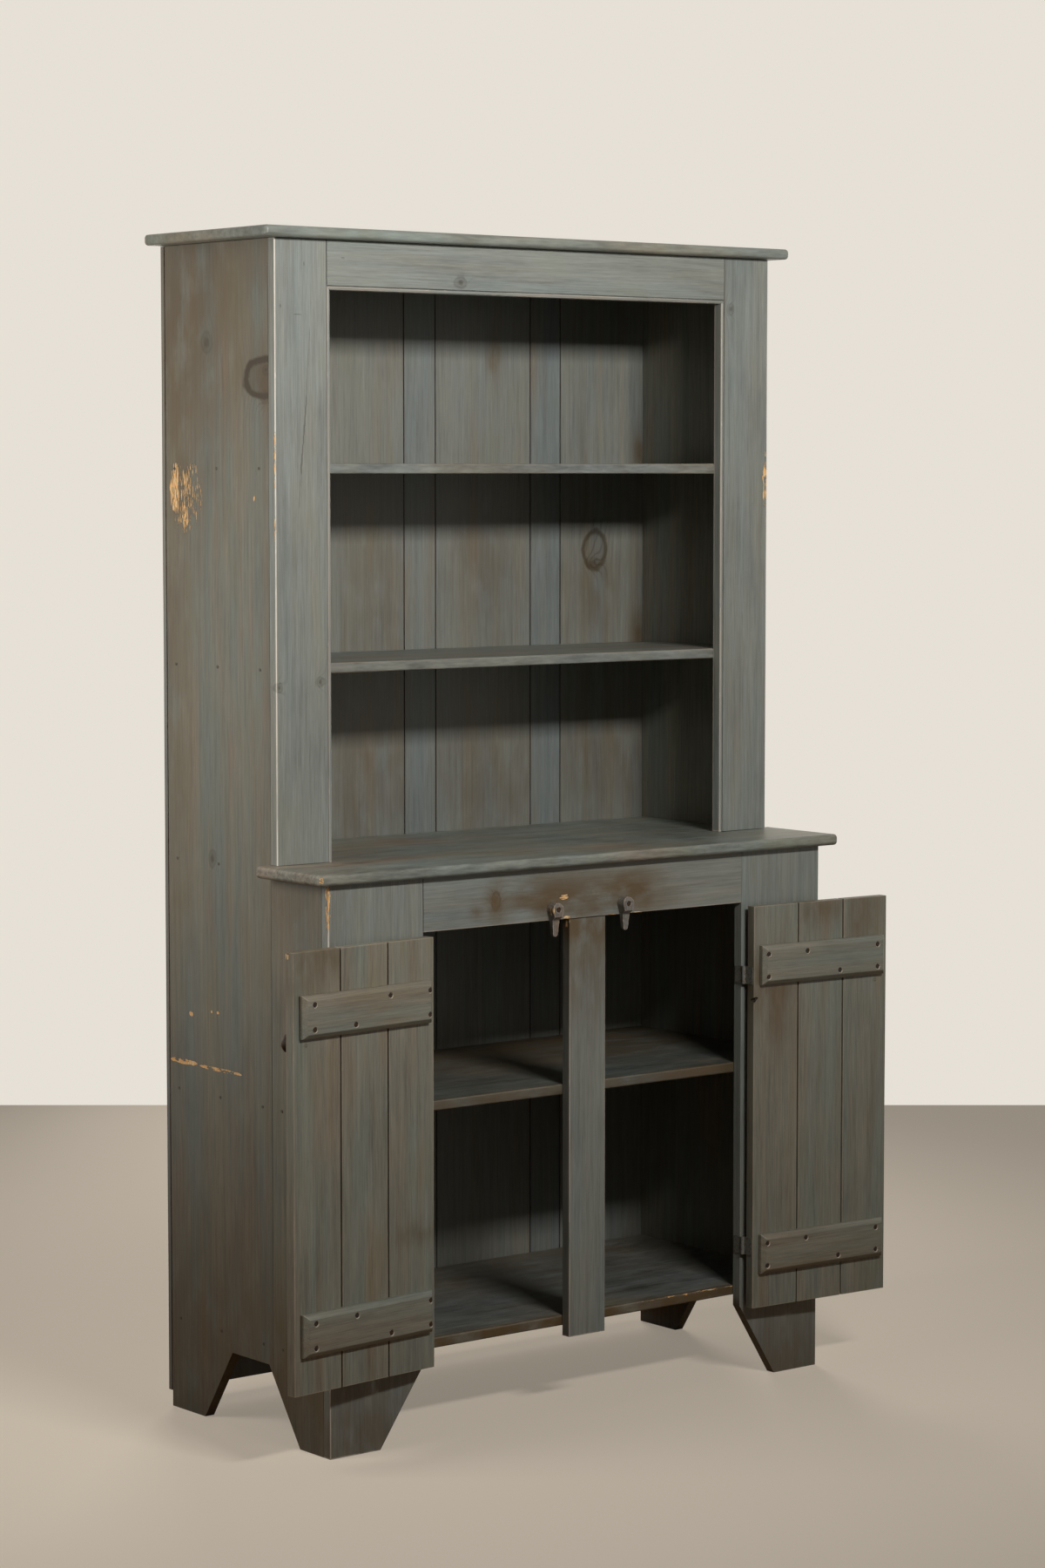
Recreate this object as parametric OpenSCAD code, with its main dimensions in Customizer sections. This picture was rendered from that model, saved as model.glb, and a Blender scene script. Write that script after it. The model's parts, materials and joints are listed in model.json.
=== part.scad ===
// Stepback kitchen cupboard: open shelves above, two batten doors on hinges below.
// Millimetres. X is across the front, Y runs from the front to the back, Z is up.
// The origin is on the floor, in the middle of the space the cupboard takes with its doors open.

/* [Case] */
// Width over the outer faces of the sides
case_w = 1074; // [900:1:1300]
// Height from the floor to the top of the top board
case_h = 2000; // [1900:1:2150]
// Front of the lower frame to the rear edges of the sides
side_depth = 467; // [420:1:560]
// Front of the lower frame to the front of the upper frame
step_back = 142.5; // [110:0.5:180]
// Thickness of the side boards
side_t = 19; // [16:0.5:24]
// Thickness of the shelves
shelf_t = 19; // [16:0.5:24]
// Depth of the grooves that hold the shelf ends
groove_depth = 6; // [3:0.5:9]

/* [Top board] */
// Thickness of the top board
top_t = 19; // [16:0.5:28]
// How far the top board passes each side
top_side_over = 32; // [10:1:60]
// How far the top board passes the upper frame
top_front_over = 22; // [5:1:50]
// Radius of the rounded board edges
round_r = 7; // [3:0.5:7.5]

/* [Counter] */
// Height of the counter's upper face
counter_top = 960; // [920:1:1000]
// Thickness of the counter
counter_t = 20; // [17:0.5:26]
// How far the counter passes the lower frame
counter_front_over = 20; // [5:1:50]
// How far the counter's ears pass each side
counter_side_over = 29; // [10:1:60]

/* [Upper face frame] */
// Thickness of both face frames
frame_t = 19; // [16:0.5:24]
// Width of an upper stile, without its bead
upper_stile_w = 104.5; // [60:0.5:150]
// Height of the upper rail, without its bead
upper_rail_h = 75; // [40:0.5:110]
// Width of the bead round the upper opening
bead_w = 6.5; // [4:0.5:12]
// Depth of the small groove beside the bead
quirk_depth = 2.5; // [1:0.5:4]
// Width of the small groove beside the bead
quirk_w = 1.2; // [0.6:0.1:2]

/* [Lower face frame] */
// Half the distance between the outer edges of the two door openings
opening_half = 349; // [320:0.5:380]
// How far the pair of door openings sits to the right of the middle
opening_shift = 4; // [0:0.5:10]
// Width of the centre stile
centre_stile_w = 80; // [50:1:120]
// Height of the lower rail
lower_rail_h = 90.5; // [80:0.5:130]
// Width of a front foot at the floor
foot_w = 101.5; // [70:0.5:140]
// Height at which the feet begin to taper, and the lower end of the centre stile
foot_h = 131.5; // [90:0.5:140]

/* [Shelves] */
// Height of the upper face of the highest shelf
shelf_top_z = 1618; // [1500:1:1750]
// Height of the upper face of the shelf below it
shelf_middle_z = 1289; // [1150:1:1400]
// Height of the upper face of the shelf behind the doors
shelf_lower_z = 565.5; // [420:0.5:650]
// Height of the upper face of the bottom shelf
shelf_bottom_z = 167; // [150:0.5:220]

/* [Bootjack feet of the sides] */
// Front end of the cut-out at the floor
jack_floor_front = 86; // [60:1:110]
// Rear end of the cut-out at the floor
jack_floor_rear = 366; // [340:1:380]
// Front end of the cut-out at its top
jack_top_front = 174; // [165:1:220]
// Rear end of the cut-out at its top
jack_top_rear = 282; // [240:1:320]
// Height of the cut-out
jack_h = 125.5; // [80:0.5:140]

/* [Back] */
// Thickness of the back boards
back_t = 10; // [6:0.5:16]
// Width of a narrow back board
back_narrow_w = 69; // [50:1:90]
// Gap between two back boards
back_gap = 1; // [0.5:0.1:3]
// Height of the lower ends of the back boards
back_z = 27; // [0:1:80]

/* [Doors] */
// Thickness of a door plank
door_t = 19; // [16:0.5:24]
// Gap between the stile and the hinged edge of a door
hinge_gap = 2; // [1.6:0.1:2.6]
// Gap between the free edge of a door and the centre stile
free_gap = 2.5; // [2.5:0.1:5]
// Gap between the lower rail and the upper end of a door
door_head_gap = 3.5; // [2:0.5:6]
// Height of the lower ends of the doors
door_z = 131.5; // [110:0.5:150]
// Gap between a closed door and the front edges of the shelves behind it
door_stop_gap = 0.5; // [0.3:0.1:2]
// Gap between two planks of a door
plank_gap = 2.5; // [1:0.5:5]
// How far the left door stands open
open_left = 174.2; // [0:0.1:178]
// How far the right door stands open
open_right = 176.9; // [0:0.1:178]

/* [Battens] */
// Height of a door batten
batten_h = 71; // [60:1:90]
// Thickness of a door batten
batten_t = 16; // [13:0.5:20]
// Width of the bevel round a batten's face
batten_bevel = 8; // [4:0.5:10]
// Distance from an end of a batten to the door's edge
batten_margin = 12; // [6:0.5:20]
// Height of the middle of the lower battens
batten_low_z = 229; // [200:0.5:280]
// Height of the middle of the upper battens
batten_high_z = 741.5; // [690:0.5:780]

/* [Hinges] */
// Radius of a hinge barrel
barrel_r = 3.8; // [3.4:0.1:4.4]
// Height of a hinge
hinge_h = 31; // [26:0.5:44]
// Distance from the frame's face to the hinge axis
axis_front = 5.6; // [5.2:0.1:7]
// Distance from the opening's edge to the hinge axis, away from the opening
axis_out = 1; // [0.4:0.1:1.4]
// Thickness of a hinge leaf
leaf_t = 0.9; // [0.6:0.05:1]
// How far a hinge leaf reaches in beside the frame's edge
leaf_depth = 16; // [12:0.5:18.5]
// Radius of a hinge pin
pin_r = 1.6; // [1.2:0.1:1.8]
// Radius of a hinge screw
leaf_screw_r = 1.2; // [0.9:0.1:1.5]
// Radius of a hinge screw's head
leaf_head_r = 2.6; // [2.2:0.1:3]
// Length of a hinge screw
leaf_screw_len = 14; // [8:0.5:20]
// Height of the hinge screws above and below the hinge's middle
leaf_screw_rise = 9.5; // [6:0.5:10]
// Height of the middle of the lower hinges
hinge_low_z = 242; // [200:1:300]
// Height of the middle of the upper hinges
hinge_high_z = 723; // [650:1:780]

/* [Knobs] */
// Radius of a door knob
knob_r = 16.5; // [12:0.5:18]
// How far a knob stands out of the door
knob_h = 31; // [28:0.5:40]
// Radius of a knob's foot
knob_foot_r = 8.5; // [7.5:0.5:9.5]
// Thickness of a knob's foot
knob_foot_h = 3.5; // [2:0.5:5]
// Radius of a knob's neck
knob_neck_r = 7; // [5:0.5:7]
// Length of a knob's neck, with its foot
knob_neck_h = 10.5; // [7:0.5:12]
// Distance from the door to the widest part of a knob
knob_head_z = 20; // [14:0.5:21]
// Height of the straight rim of a knob
knob_rim_h = 3.5; // [2:0.5:4]
// Radius of the flat top of a knob
knob_flat_r = 6.5; // [4:0.5:8]
// Distance from the middle of a knob to the free edge of the door
knob_inset = 27; // [20:0.5:60]
// Height of the knobs
knob_z = 696; // [500:1:800]

/* [Turn buttons] */
// Distance from the middle of the centre stile to a button's pivot
button_x = 77; // [55:0.5:120]
// Height of the pivots
button_z = 869; // [862:0.5:890]
// Radius of a button's head
button_r = 12; // [9:0.5:13]
// Distance from the pivot to the button's tip
button_reach = 46.5; // [36:0.5:50]
// Thickness of a button's head
button_t = 17; // [13:0.5:18]
// Thickness of a button's tail
button_tail_t = 9.5; // [6:0.5:10]
// Distance from the pivot to the neck between a button's head and its tail
button_neck = 15.5; // [13:0.5:18]
// Half the width of a button at its neck
neck_half_w = 8; // [6:0.5:8.5]
// Half the width of a button at its tip
tip_half_w = 5.5; // [4:0.5:6]
// Depth of the hole over the pivot screw's head
pivot_sink = 4; // [3:0.5:6]
// How far a pivot screw runs into the rail
pivot_reach = 15; // [8:0.5:15.5]

/* [Fasteners] */
// Radius of a nail
nail_r = 1.3; // [1:0.1:1.8]
// Radius of a nail's head
nail_head_r = 2.6; // [2.2:0.1:4]
// Thickness of a nail's head
nail_head_t = 1.2; // [0.8:0.1:2]
// Length of a nail through a side
side_nail_len = 42; // [32:1:55]
// Length of a nail through a back board
back_nail_len = 32; // [22:1:40]
// Distance from a board's edge to its first nail
nail_inset = 28; // [20:1:40]
// Radius of a batten screw
screw_r = 2; // [1.5:0.1:2.5]
// Radius of a screw head
screw_head_r = 3.8; // [3.2:0.1:4.4]
// Thickness of a screw head
screw_head_t = 2.4; // [1.5:0.1:3]
// Radius of the holes over the batten screw heads
sink_r = 4.4; // [4:0.1:5]
// Depth of the batten screw heads below the batten's face
sink_depth = 1.6; // [0.5:0.1:2.5]
// Length of a batten screw
batten_screw_len = 29; // [24:0.5:32]
// Distance from the free edge of a door to its outermost batten screws
screw_free_inset = 33; // [25:1:45]
// Distance from the hinged edge of a door to its outermost batten screws
screw_hinge_inset = 22; // [20:1:40]
// Place of the two middle batten screws, as a share of the way between the outer ones
screw_share = 0.35; // [0.33:0.01:0.37]
// Height of the batten screws above and below the batten's middle
screw_rise = 20; // [14:0.5:22]

/* [Hidden] */
$fn = 48;

// Paint and metal colours
side_paint = [0.37, 0.37, 0.35];
frame_paint = [0.37, 0.41, 0.41];
shelf_paint = [0.33, 0.36, 0.35];
door_paint = [0.36, 0.36, 0.33];
knob_brown = [0.16, 0.12, 0.1];
old_iron = [0.3, 0.3, 0.29];

// A small overlap that keeps a cut from leaving a skin
cut = 1;
// Radial gap round a screw or nail in its hole
hole_gap = 0.05;
// Radial gap between a pin or pivot screw and the piece that turns on it
turn_gap = 0.1;
// Gap between a turn button and the face behind it, and between two hinge knuckles
seat_gap = 0.3;
// Radial gap round a pivot screw's head in its hole
head_gap = 0.6;
// Metal left under the head of a hinge screw
leaf_skin = 0.2;
left = -1;
right = 1;

half_w = case_w / 2;
inner_half = half_w - side_t;
top_under = case_h - top_t;
counter_under = counter_top - counter_t;
back_rear = side_depth + back_t;
// The full-height side boards begin behind the upper frame
main_front = step_back + frame_t;
shelf_half = inner_half + groove_depth;

upper_opening_half = half_w - upper_stile_w - bead_w;
upper_opening_top = top_under - upper_rail_h - bead_w;

opening_left = opening_shift - opening_half;
opening_right = opening_shift + opening_half;
opening_w = opening_half - centre_stile_w / 2;
rail_under = counter_under - lower_rail_h;

door_w = opening_w - hinge_gap - free_gap;
door_top = rail_under - door_head_gap;
door_h = door_top - door_z;
plank_w = (door_w - 2 * plank_gap) / 3;
// The door's own frame has the hinge axis as origin, +X across the closed door and +Y to the back
door_edge = axis_out + hinge_gap;
door_free = door_edge + door_w;
door_outer = axis_front;
door_inner = axis_front + door_t;
batten_face = door_inner + batten_t;
screw_low_x = door_edge + screw_hinge_inset;
screw_span = door_free - screw_free_inset - screw_low_x;
screw_xs = [for (share = [0, screw_share, 1 - screw_share, 1]) screw_low_x + share * screw_span];
// The pins and the leaf screws
pin_bore_r = pin_r + turn_gap;
leaf_inner = barrel_r + seat_gap;
leaf_rear = axis_front + leaf_depth;
leaf_screw_y = axis_front + leaf_depth / 2;
leaf_head_t = leaf_t - leaf_skin;
knuckle_h = (hinge_h - 2 * seat_gap) / 3;
// The knobs' screws reach half way into their heads
knob_screw_len = door_t + knob_neck_h + screw_r;
// The pivot screws' heads stand clear of the floor of their holes
pivot_head_z = button_t - pivot_sink + 2 * seat_gap + screw_head_t;

// The reach of the open doors to the front sets where the origin lies
function reach_at(x, y, angle) = x * sin(angle) - y * cos(angle) + axis_front;
front_reach = max(
  reach_at(door_free - batten_margin, batten_face, open_left),
  reach_at(door_free - batten_margin, batten_face, open_right),
  counter_front_over
);
origin_y = (back_rear - front_reach) / 2;

back_wide_w = (case_w - 3 * back_narrow_w - 6 * back_gap) / 4;
function is_narrow(i) = i % 2 == 1;
function back_w(i) = is_narrow(i) ? back_narrow_w : back_wide_w;
function back_x(i) = i == 0 ? -half_w : back_x(i - 1) + back_w(i - 1) + back_gap;
shelf_tops = [shelf_top_z, shelf_middle_z, shelf_lower_z, shelf_bottom_z];
nail_levels = concat([for (z = shelf_tops) z - shelf_t / 2], [counter_top - counter_t / 2]);
lower_levels = [shelf_lower_z - shelf_t / 2, shelf_bottom_z - shelf_t / 2];
main_nail_ys = [main_front + nail_inset, (main_front + side_depth) / 2, side_depth - nail_inset];
front_nail_ys = [frame_t + nail_inset, main_front - nail_inset];

// Shapes that repeat

module in_place() {
  translate([0, -origin_y, 0]) children();
}

module board(x0, x1, y0, y1, z0, z1) {
  translate([x0, y0, z0]) cube([x1 - x0, y1 - y0, z1 - z0]);
}

// A flat shape drawn in Y and Z, given a thickness from x0 to x1
module across(x0, x1) {
  translate([x0, 0, 0]) rotate([90, 0, 90]) linear_extrude(x1 - x0) children();
}

// A flat shape drawn in X and Z, given a thickness from y0 to y1
module depthwise(y0, y1) {
  translate([0, y1, 0]) rotate([90, 0, 0]) linear_extrude(y1 - y0) children();
}

// A rectangle whose chosen ends are rounded: low is the end at a0, high is the end at a1
module rounded_section(a0, a1, z0, z1, r, low, high) {
  low_r = low ? r : 0;
  high_r = high ? r : 0;
  translate([a0 + low_r, z0]) square([a1 - a0 - low_r - high_r, z1 - z0]);
  if (low) {
    translate([a0, z0 + r]) square([r, z1 - z0 - 2 * r]);
    translate([a0 + r, z0 + r]) circle(r);
    translate([a0 + r, z1 - r]) circle(r);
  }
  if (high) {
    translate([a1 - r, z0 + r]) square([r, z1 - z0 - 2 * r]);
    translate([a1 - r, z0 + r]) circle(r);
    translate([a1 - r, z1 - r]) circle(r);
  }
}

// A board with rounded front and side edges and a square rear edge
module round_edged_board(half, y0, y1, z0, z1) {
  intersection() {
    depthwise(y0 - cut, y1) rounded_section(-half, half, z0, z1, round_r, true, true);
    across(-half - cut, half + cut) rounded_section(y0, y1, z0, z1, round_r, true, false);
  }
}

// A nail with its head on the plane z = 0 and its point down
module nail(length) {
  translate([0, 0, -nail_head_t]) cylinder(h = nail_head_t, r = nail_head_r);
  translate([0, 0, -length]) cylinder(h = length - nail_head_t / 2, r = nail_r);
}

module nail_hole(length) {
  translate([0, 0, -nail_head_t - hole_gap]) cylinder(h = nail_head_t + cut, r = nail_head_r + hole_gap);
  translate([0, 0, -length - cut]) cylinder(h = length + cut, r = nail_r + hole_gap);
}

// A screw with its head on the plane z = 0 and its point down
module screw(r, head_r, head_t, length, slotted = true) {
  difference() {
    union() {
      translate([0, 0, -head_t]) cylinder(h = head_t, r1 = r, r2 = head_r);
      translate([0, 0, -length]) cylinder(h = length - head_t, r = r);
    }
    if (slotted) driver_slot(head_r, head_t);
  }
}

// A slot across a head whose top is on the plane z = 0
module driver_slot(head_r, head_t) {
  slot = head_t / 3;
  translate([-head_r, -slot / 2, -slot]) cube([2 * head_r, slot, head_t]);
}

module screw_hole(r, head_r, head_t, length) {
  translate([0, 0, -head_t - hole_gap]) cylinder(h = head_t, r1 = r + hole_gap, r2 = head_r + hole_gap);
  translate([0, 0, -hole_gap - cut / 4]) cylinder(h = cut, r = head_r + hole_gap);
  translate([0, 0, -length - cut]) cylinder(h = length + cut / 2, r = r + hole_gap);
}

// Case: sides

module bootjack() {
  across(-half_w - cut, half_w + cut) polygon([
    [jack_floor_front, 0],
    [jack_top_front, jack_h],
    [jack_top_rear, jack_h],
    [jack_floor_rear, 0],
    [jack_floor_rear, -cut],
    [jack_floor_front, -cut]
  ]);
}

module shelf_groove(side, z, front) {
  x0 = side == left ? -shelf_half : inner_half;
  board(x0, x0 + groove_depth, front, side_depth, z - shelf_t, z);
}

// Puts a nail or its hole at every place in one side
module side_nail_places(side) {
  for (z = nail_levels, y = main_nail_ys) {
    translate([side * half_w, y, z]) rotate([0, side * 90, 0]) children();
  }
  for (z = lower_levels, y = front_nail_ys) {
    translate([side * half_w, y, z]) rotate([0, side * 90, 0]) children();
  }
}

module side_board(side) {
  x0 = side == left ? -half_w : inner_half;
  color(side_paint) in_place() difference() {
    board(x0, x0 + side_t, main_front, side_depth, 0, top_under);
    bootjack();
    for (z = shelf_tops) shelf_groove(side, z, main_front - cut);
    side_nail_places(side) nail_hole(side_nail_len);
  }
}

module side_front(side) {
  x0 = side == left ? -half_w : inner_half;
  color(side_paint) in_place() difference() {
    board(x0, x0 + side_t, frame_t, main_front, 0, counter_under);
    bootjack();
    for (z = [shelf_lower_z, shelf_bottom_z]) shelf_groove(side, z, frame_t - cut);
    side_nail_places(side) nail_hole(side_nail_len);
  }
}

module side_nails(side) {
  color(old_iron) in_place() side_nail_places(side) nail(side_nail_len);
}

// Case: top and counter

module top_board() {
  color(frame_paint) in_place()
    round_edged_board(half_w + top_side_over, step_back - top_front_over, back_rear, top_under, case_h);
}

// The counter's ears end at the side boards, and its tail runs between them to the back
module counter_board() {
  ear = half_w + counter_side_over;
  color(frame_paint) in_place() difference() {
    union() {
      round_edged_board(ear, -counter_front_over, main_front, counter_under, counter_top);
      board(-inner_half, inner_half, main_front, side_depth, counter_under, counter_top);
    }
    for (side = [left, right]) side_nail_places(side) nail_hole(side_nail_len);
    back_nail_places() nail_hole(back_nail_len);
  }
}

// Case: shelves

module shelf(z, front) {
  color(shelf_paint) in_place() difference() {
    board(-shelf_half, shelf_half, front, side_depth, z - shelf_t, z);
    for (side = [left, right]) side_nail_places(side) nail_hole(side_nail_len);
    back_nail_places() nail_hole(back_nail_len);
  }
}

module shelf_top() shelf(shelf_top_z, main_front);

module shelf_middle() shelf(shelf_middle_z, main_front);

// The closed doors meet the front edges of the two lower shelves
module shelf_lower() shelf(shelf_lower_z, frame_t + door_stop_gap);

module shelf_bottom() shelf(shelf_bottom_z, frame_t + door_stop_gap);

// Case: upper face frame

module upper_stile(side) {
  x0 = side == left ? -half_w : half_w - upper_stile_w;
  groove_x = side == left ? -half_w + upper_stile_w - quirk_w : half_w - upper_stile_w;
  groove_top = upper_opening_top + bead_w + quirk_w;
  color(frame_paint) in_place() difference() {
    board(x0, x0 + upper_stile_w, step_back, main_front, counter_top, top_under);
    board(
      groove_x, groove_x + quirk_w,
      step_back - cut, step_back + quirk_depth,
      counter_top - cut, groove_top
    );
  }
}

module upper_rail() {
  half = half_w - upper_stile_w;
  z0 = upper_opening_top + bead_w;
  color(frame_paint) in_place() difference() {
    board(-half, half, step_back, main_front, z0, top_under);
    board(-half - cut, half + cut, step_back - cut, step_back + quirk_depth, z0 - cut, z0 + quirk_w);
  }
}

// The bead's section, with its round face to the front, as wide as bead_w
module bead_section() {
  translate([bead_w / 2, bead_w / 2]) circle(bead_w / 2);
  translate([0, bead_w / 2]) square([bead_w, frame_t - bead_w / 2]);
}

// A bead beside a stile, mitred where it meets the bead under the rail
module upper_bead_side(side) {
  x0 = side == left ? -upper_opening_half - bead_w : upper_opening_half;
  color(frame_paint) in_place() difference() {
    translate([x0, step_back, counter_top])
      linear_extrude(upper_opening_top + bead_w - counter_top) bead_section();
    depthwise(step_back - cut, main_front + cut) polygon([
      [side * upper_opening_half, upper_opening_top],
      [side * (upper_opening_half + bead_w + cut), upper_opening_top + bead_w + cut],
      [side * (upper_opening_half - cut), upper_opening_top + bead_w + cut],
      [side * (upper_opening_half - cut), upper_opening_top]
    ]);
  }
}

module upper_bead_top() {
  wide = upper_opening_half + bead_w;
  color(frame_paint) in_place() intersection() {
    translate([-wide, 0, upper_opening_top]) rotate([90, 0, 90]) linear_extrude(2 * wide)
      translate([step_back, 0]) mirror([1, -1]) bead_section();
    depthwise(step_back - cut, main_front + cut) polygon([
      [-upper_opening_half, upper_opening_top],
      [-wide, upper_opening_top + bead_w],
      [wide, upper_opening_top + bead_w],
      [upper_opening_half, upper_opening_top]
    ]);
  }
}

// Case: lower face frame

module lower_stile(side) {
  edge = side == left ? opening_left : opening_right;
  color(frame_paint) in_place() difference() {
    depthwise(0, frame_t) polygon([
      [side * half_w, 0],
      [side * (half_w - foot_w), 0],
      [edge, foot_h],
      [edge, counter_under],
      [side * half_w, counter_under]
    ]);
    hinge_places(side) frame_leaf_screw_places() leaf_screw_hole();
  }
}

module lower_rail() {
  color(frame_paint) in_place() difference() {
    board(opening_left, opening_right, 0, frame_t, rail_under, counter_under);
    turn_button_places() pivot_screw_hole();
  }
}

module centre_stile() {
  x0 = opening_shift - centre_stile_w / 2;
  color(frame_paint) in_place() board(x0, x0 + centre_stile_w, 0, frame_t, foot_h, rail_under);
}

// Case: back boards

// Puts a nail or its hole where each back board crosses a shelf
module back_nail_places() {
  for (i = [0:6], z = nail_levels) {
    middle = back_x(i) + back_w(i) / 2;
    spread = is_narrow(i) ? 0 : back_w(i) / 2 - nail_inset;
    for (x = is_narrow(i) ? [middle] : [middle - spread, middle + spread]) {
      translate([x, back_rear, z]) rotate([-90, 0, 0]) children();
    }
  }
}

module back_board(number) {
  i = number - 1;
  color(shelf_paint) in_place() difference() {
    board(back_x(i), back_x(i) + back_w(i), side_depth, back_rear, back_z, top_under);
    back_nail_places() nail_hole(back_nail_len);
  }
}

module back_nails() {
  color(old_iron) in_place() back_nail_places() nail(back_nail_len);
}

// Hinges

// Puts a side's hinge axis at the origin, with +X towards the door and +Y to the back
module on_hinge_axis(side) {
  x = side == left ? opening_left - axis_out : opening_right + axis_out;
  translate([x, -axis_front, 0]) mirror([side == right ? 1 : 0, 0, 0]) children();
}

module on_door(side) {
  open = side == left ? open_left : open_right;
  in_place() on_hinge_axis(side) rotate([0, 0, -open]) children();
}

module hinge_heights() {
  for (z = [hinge_low_z, hinge_high_z]) translate([0, 0, z]) children();
}

module hinge_places(side) {
  on_hinge_axis(side) hinge_heights() children();
}

// Puts a screw's head plane on the face of the leaf, with the screw running away from the door
module frame_leaf_screw_places() {
  for (z = [-leaf_screw_rise, leaf_screw_rise]) {
    translate([axis_out + leaf_t, leaf_screw_y, z]) rotate([0, 90, 0]) children();
  }
}

module door_leaf_screw_places() {
  for (z = [-leaf_screw_rise, leaf_screw_rise]) {
    translate([door_edge - leaf_t, leaf_screw_y, z]) rotate([0, -90, 0]) children();
  }
}

module leaf_screw() {
  screw(leaf_screw_r, leaf_head_r, leaf_head_t, leaf_screw_len, false);
}

module leaf_screw_hole() {
  screw_hole(leaf_screw_r, leaf_head_r, leaf_head_t, leaf_screw_len);
}

module knuckle(z0) {
  translate([0, 0, z0]) cylinder(h = knuckle_h, r = barrel_r);
}

module pin_bore(r) {
  translate([0, 0, -hinge_h]) cylinder(h = 2 * hinge_h, r = r);
}

// The leaf on the stile carries the two outer knuckles and grips the pin
module frame_leaf() {
  difference() {
    union() {
      for (z = [-hinge_h / 2, hinge_h / 2 - knuckle_h]) {
        knuckle(z);
        board(axis_out, axis_out + leaf_t, 0, leaf_inner + cut, z, z + knuckle_h);
      }
      board(axis_out, axis_out + leaf_t, leaf_inner, leaf_rear, -hinge_h / 2, hinge_h / 2);
    }
    pin_bore(pin_r);
    frame_leaf_screw_places() leaf_screw_hole();
  }
}

// The leaf on the door carries the middle knuckle and turns on the pin
module door_leaf() {
  difference() {
    union() {
      knuckle(-knuckle_h / 2);
      board(door_edge - leaf_t, door_edge, 0, leaf_inner + cut, -knuckle_h / 2, knuckle_h / 2);
      board(door_edge - leaf_t, door_edge, leaf_inner, leaf_rear, -hinge_h / 2, hinge_h / 2);
    }
    pin_bore(pin_bore_r);
    door_leaf_screw_places() leaf_screw_hole();
  }
}

module frame_hinge_leaves() {
  color(old_iron) in_place() for (side = [left, right]) hinge_places(side) frame_leaf();
}

module frame_hinge_screws() {
  color(old_iron) in_place() for (side = [left, right])
    hinge_places(side) frame_leaf_screw_places() leaf_screw();
}

module hinge_pins() {
  color(old_iron) in_place() for (side = [left, right]) hinge_places(side)
    translate([0, 0, -hinge_h / 2]) cylinder(h = hinge_h, r = pin_r);
}

module door_hinge_leaves(side) {
  color(old_iron) on_door(side) hinge_heights() door_leaf();
}

module door_hinge_screws(side) {
  color(old_iron) on_door(side) hinge_heights() door_leaf_screw_places() leaf_screw();
}

// Doors

// Puts a batten screw or its hole at its place; swap turns the middle two round
module batten_screw_places(z, swap) {
  rise = swap ? -screw_rise : screw_rise;
  spots = [
    [screw_xs[0], screw_rise],
    [screw_xs[0], -screw_rise],
    [screw_xs[1], rise],
    [screw_xs[2], -rise],
    [screw_xs[3], screw_rise],
    [screw_xs[3], -screw_rise]
  ];
  for (spot = spots) {
    translate([spot[0], batten_face - sink_depth, z + spot[1]]) rotate([-90, 0, 0]) children();
  }
}

module door_screw_places(side) {
  batten_screw_places(batten_high_z, false) children();
  batten_screw_places(batten_low_z, side == left) children();
}

module batten_screw() {
  screw(screw_r, screw_head_r, screw_head_t, batten_screw_len);
}

module batten_screw_hole() {
  screw_hole(screw_r, screw_head_r, screw_head_t, batten_screw_len);
  cylinder(h = sink_depth + cut, r = sink_r);
}

module knob_place() {
  translate([door_free - knob_inset, door_outer, knob_z]) rotate([90, 0, 0]) children();
}

// The knob screw's head is flush with the inner face of the door
module knob_screw_place() {
  translate([door_free - knob_inset, door_inner, knob_z]) rotate([-90, 0, 0]) children();
}

module knob_screw_hole() {
  screw_hole(screw_r, screw_head_r, screw_head_t, knob_screw_len);
}

// The planks are counted from the hinges
module door_plank(side, number) {
  x0 = door_edge + (number - 1) * (plank_w + plank_gap);
  color(door_paint) on_door(side) difference() {
    board(x0, x0 + plank_w, door_outer, door_inner, door_z, door_top);
    door_screw_places(side) batten_screw_hole();
    if (number == 1) hinge_heights() door_leaf_screw_places() leaf_screw_hole();
    if (number == 3) knob_screw_place() knob_screw_hole();
  }
}

// A batten with a bevel round its face
module door_batten(side, z, swap) {
  x0 = door_edge + batten_margin;
  x1 = door_free - batten_margin;
  low = z - batten_h / 2;
  high = z + batten_h / 2;
  shoulder = batten_face - batten_bevel;
  color(door_paint) on_door(side) difference() {
    intersection() {
      across(x0, x1) polygon([
        [door_inner, low],
        [shoulder, low],
        [batten_face, low + batten_bevel],
        [batten_face, high - batten_bevel],
        [shoulder, high],
        [door_inner, high]
      ]);
      translate([0, 0, low]) linear_extrude(batten_h) polygon([
        [x0, door_inner],
        [x0, shoulder],
        [x0 + batten_bevel, batten_face],
        [x1 - batten_bevel, batten_face],
        [x1, shoulder],
        [x1, door_inner]
      ]);
    }
    batten_screw_places(z, swap) batten_screw_hole();
  }
}

module door_batten_screws(side) {
  color(old_iron) on_door(side) door_screw_places(side) batten_screw();
}

// Half of the knob's outline: a foot, a neck and a domed head
module knob_outline() {
  rim_top = knob_head_z + knob_rim_h;
  shoulder_r = (knob_r + knob_flat_r) / 2 + knob_rim_h / 2;
  polygon([
    [0, 0],
    [knob_foot_r, 0],
    [knob_foot_r, knob_foot_h],
    [knob_neck_r, knob_foot_h],
    [knob_neck_r, knob_neck_h],
    [knob_r, knob_head_z],
    [knob_r, rim_top],
    [shoulder_r, (rim_top + knob_h) / 2],
    [knob_flat_r, knob_h],
    [0, knob_h]
  ]);
}

module door_knob(side) {
  color(knob_brown) on_door(side) difference() {
    knob_place() rotate_extrude() knob_outline();
    knob_screw_place() knob_screw_hole();
  }
}

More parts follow.
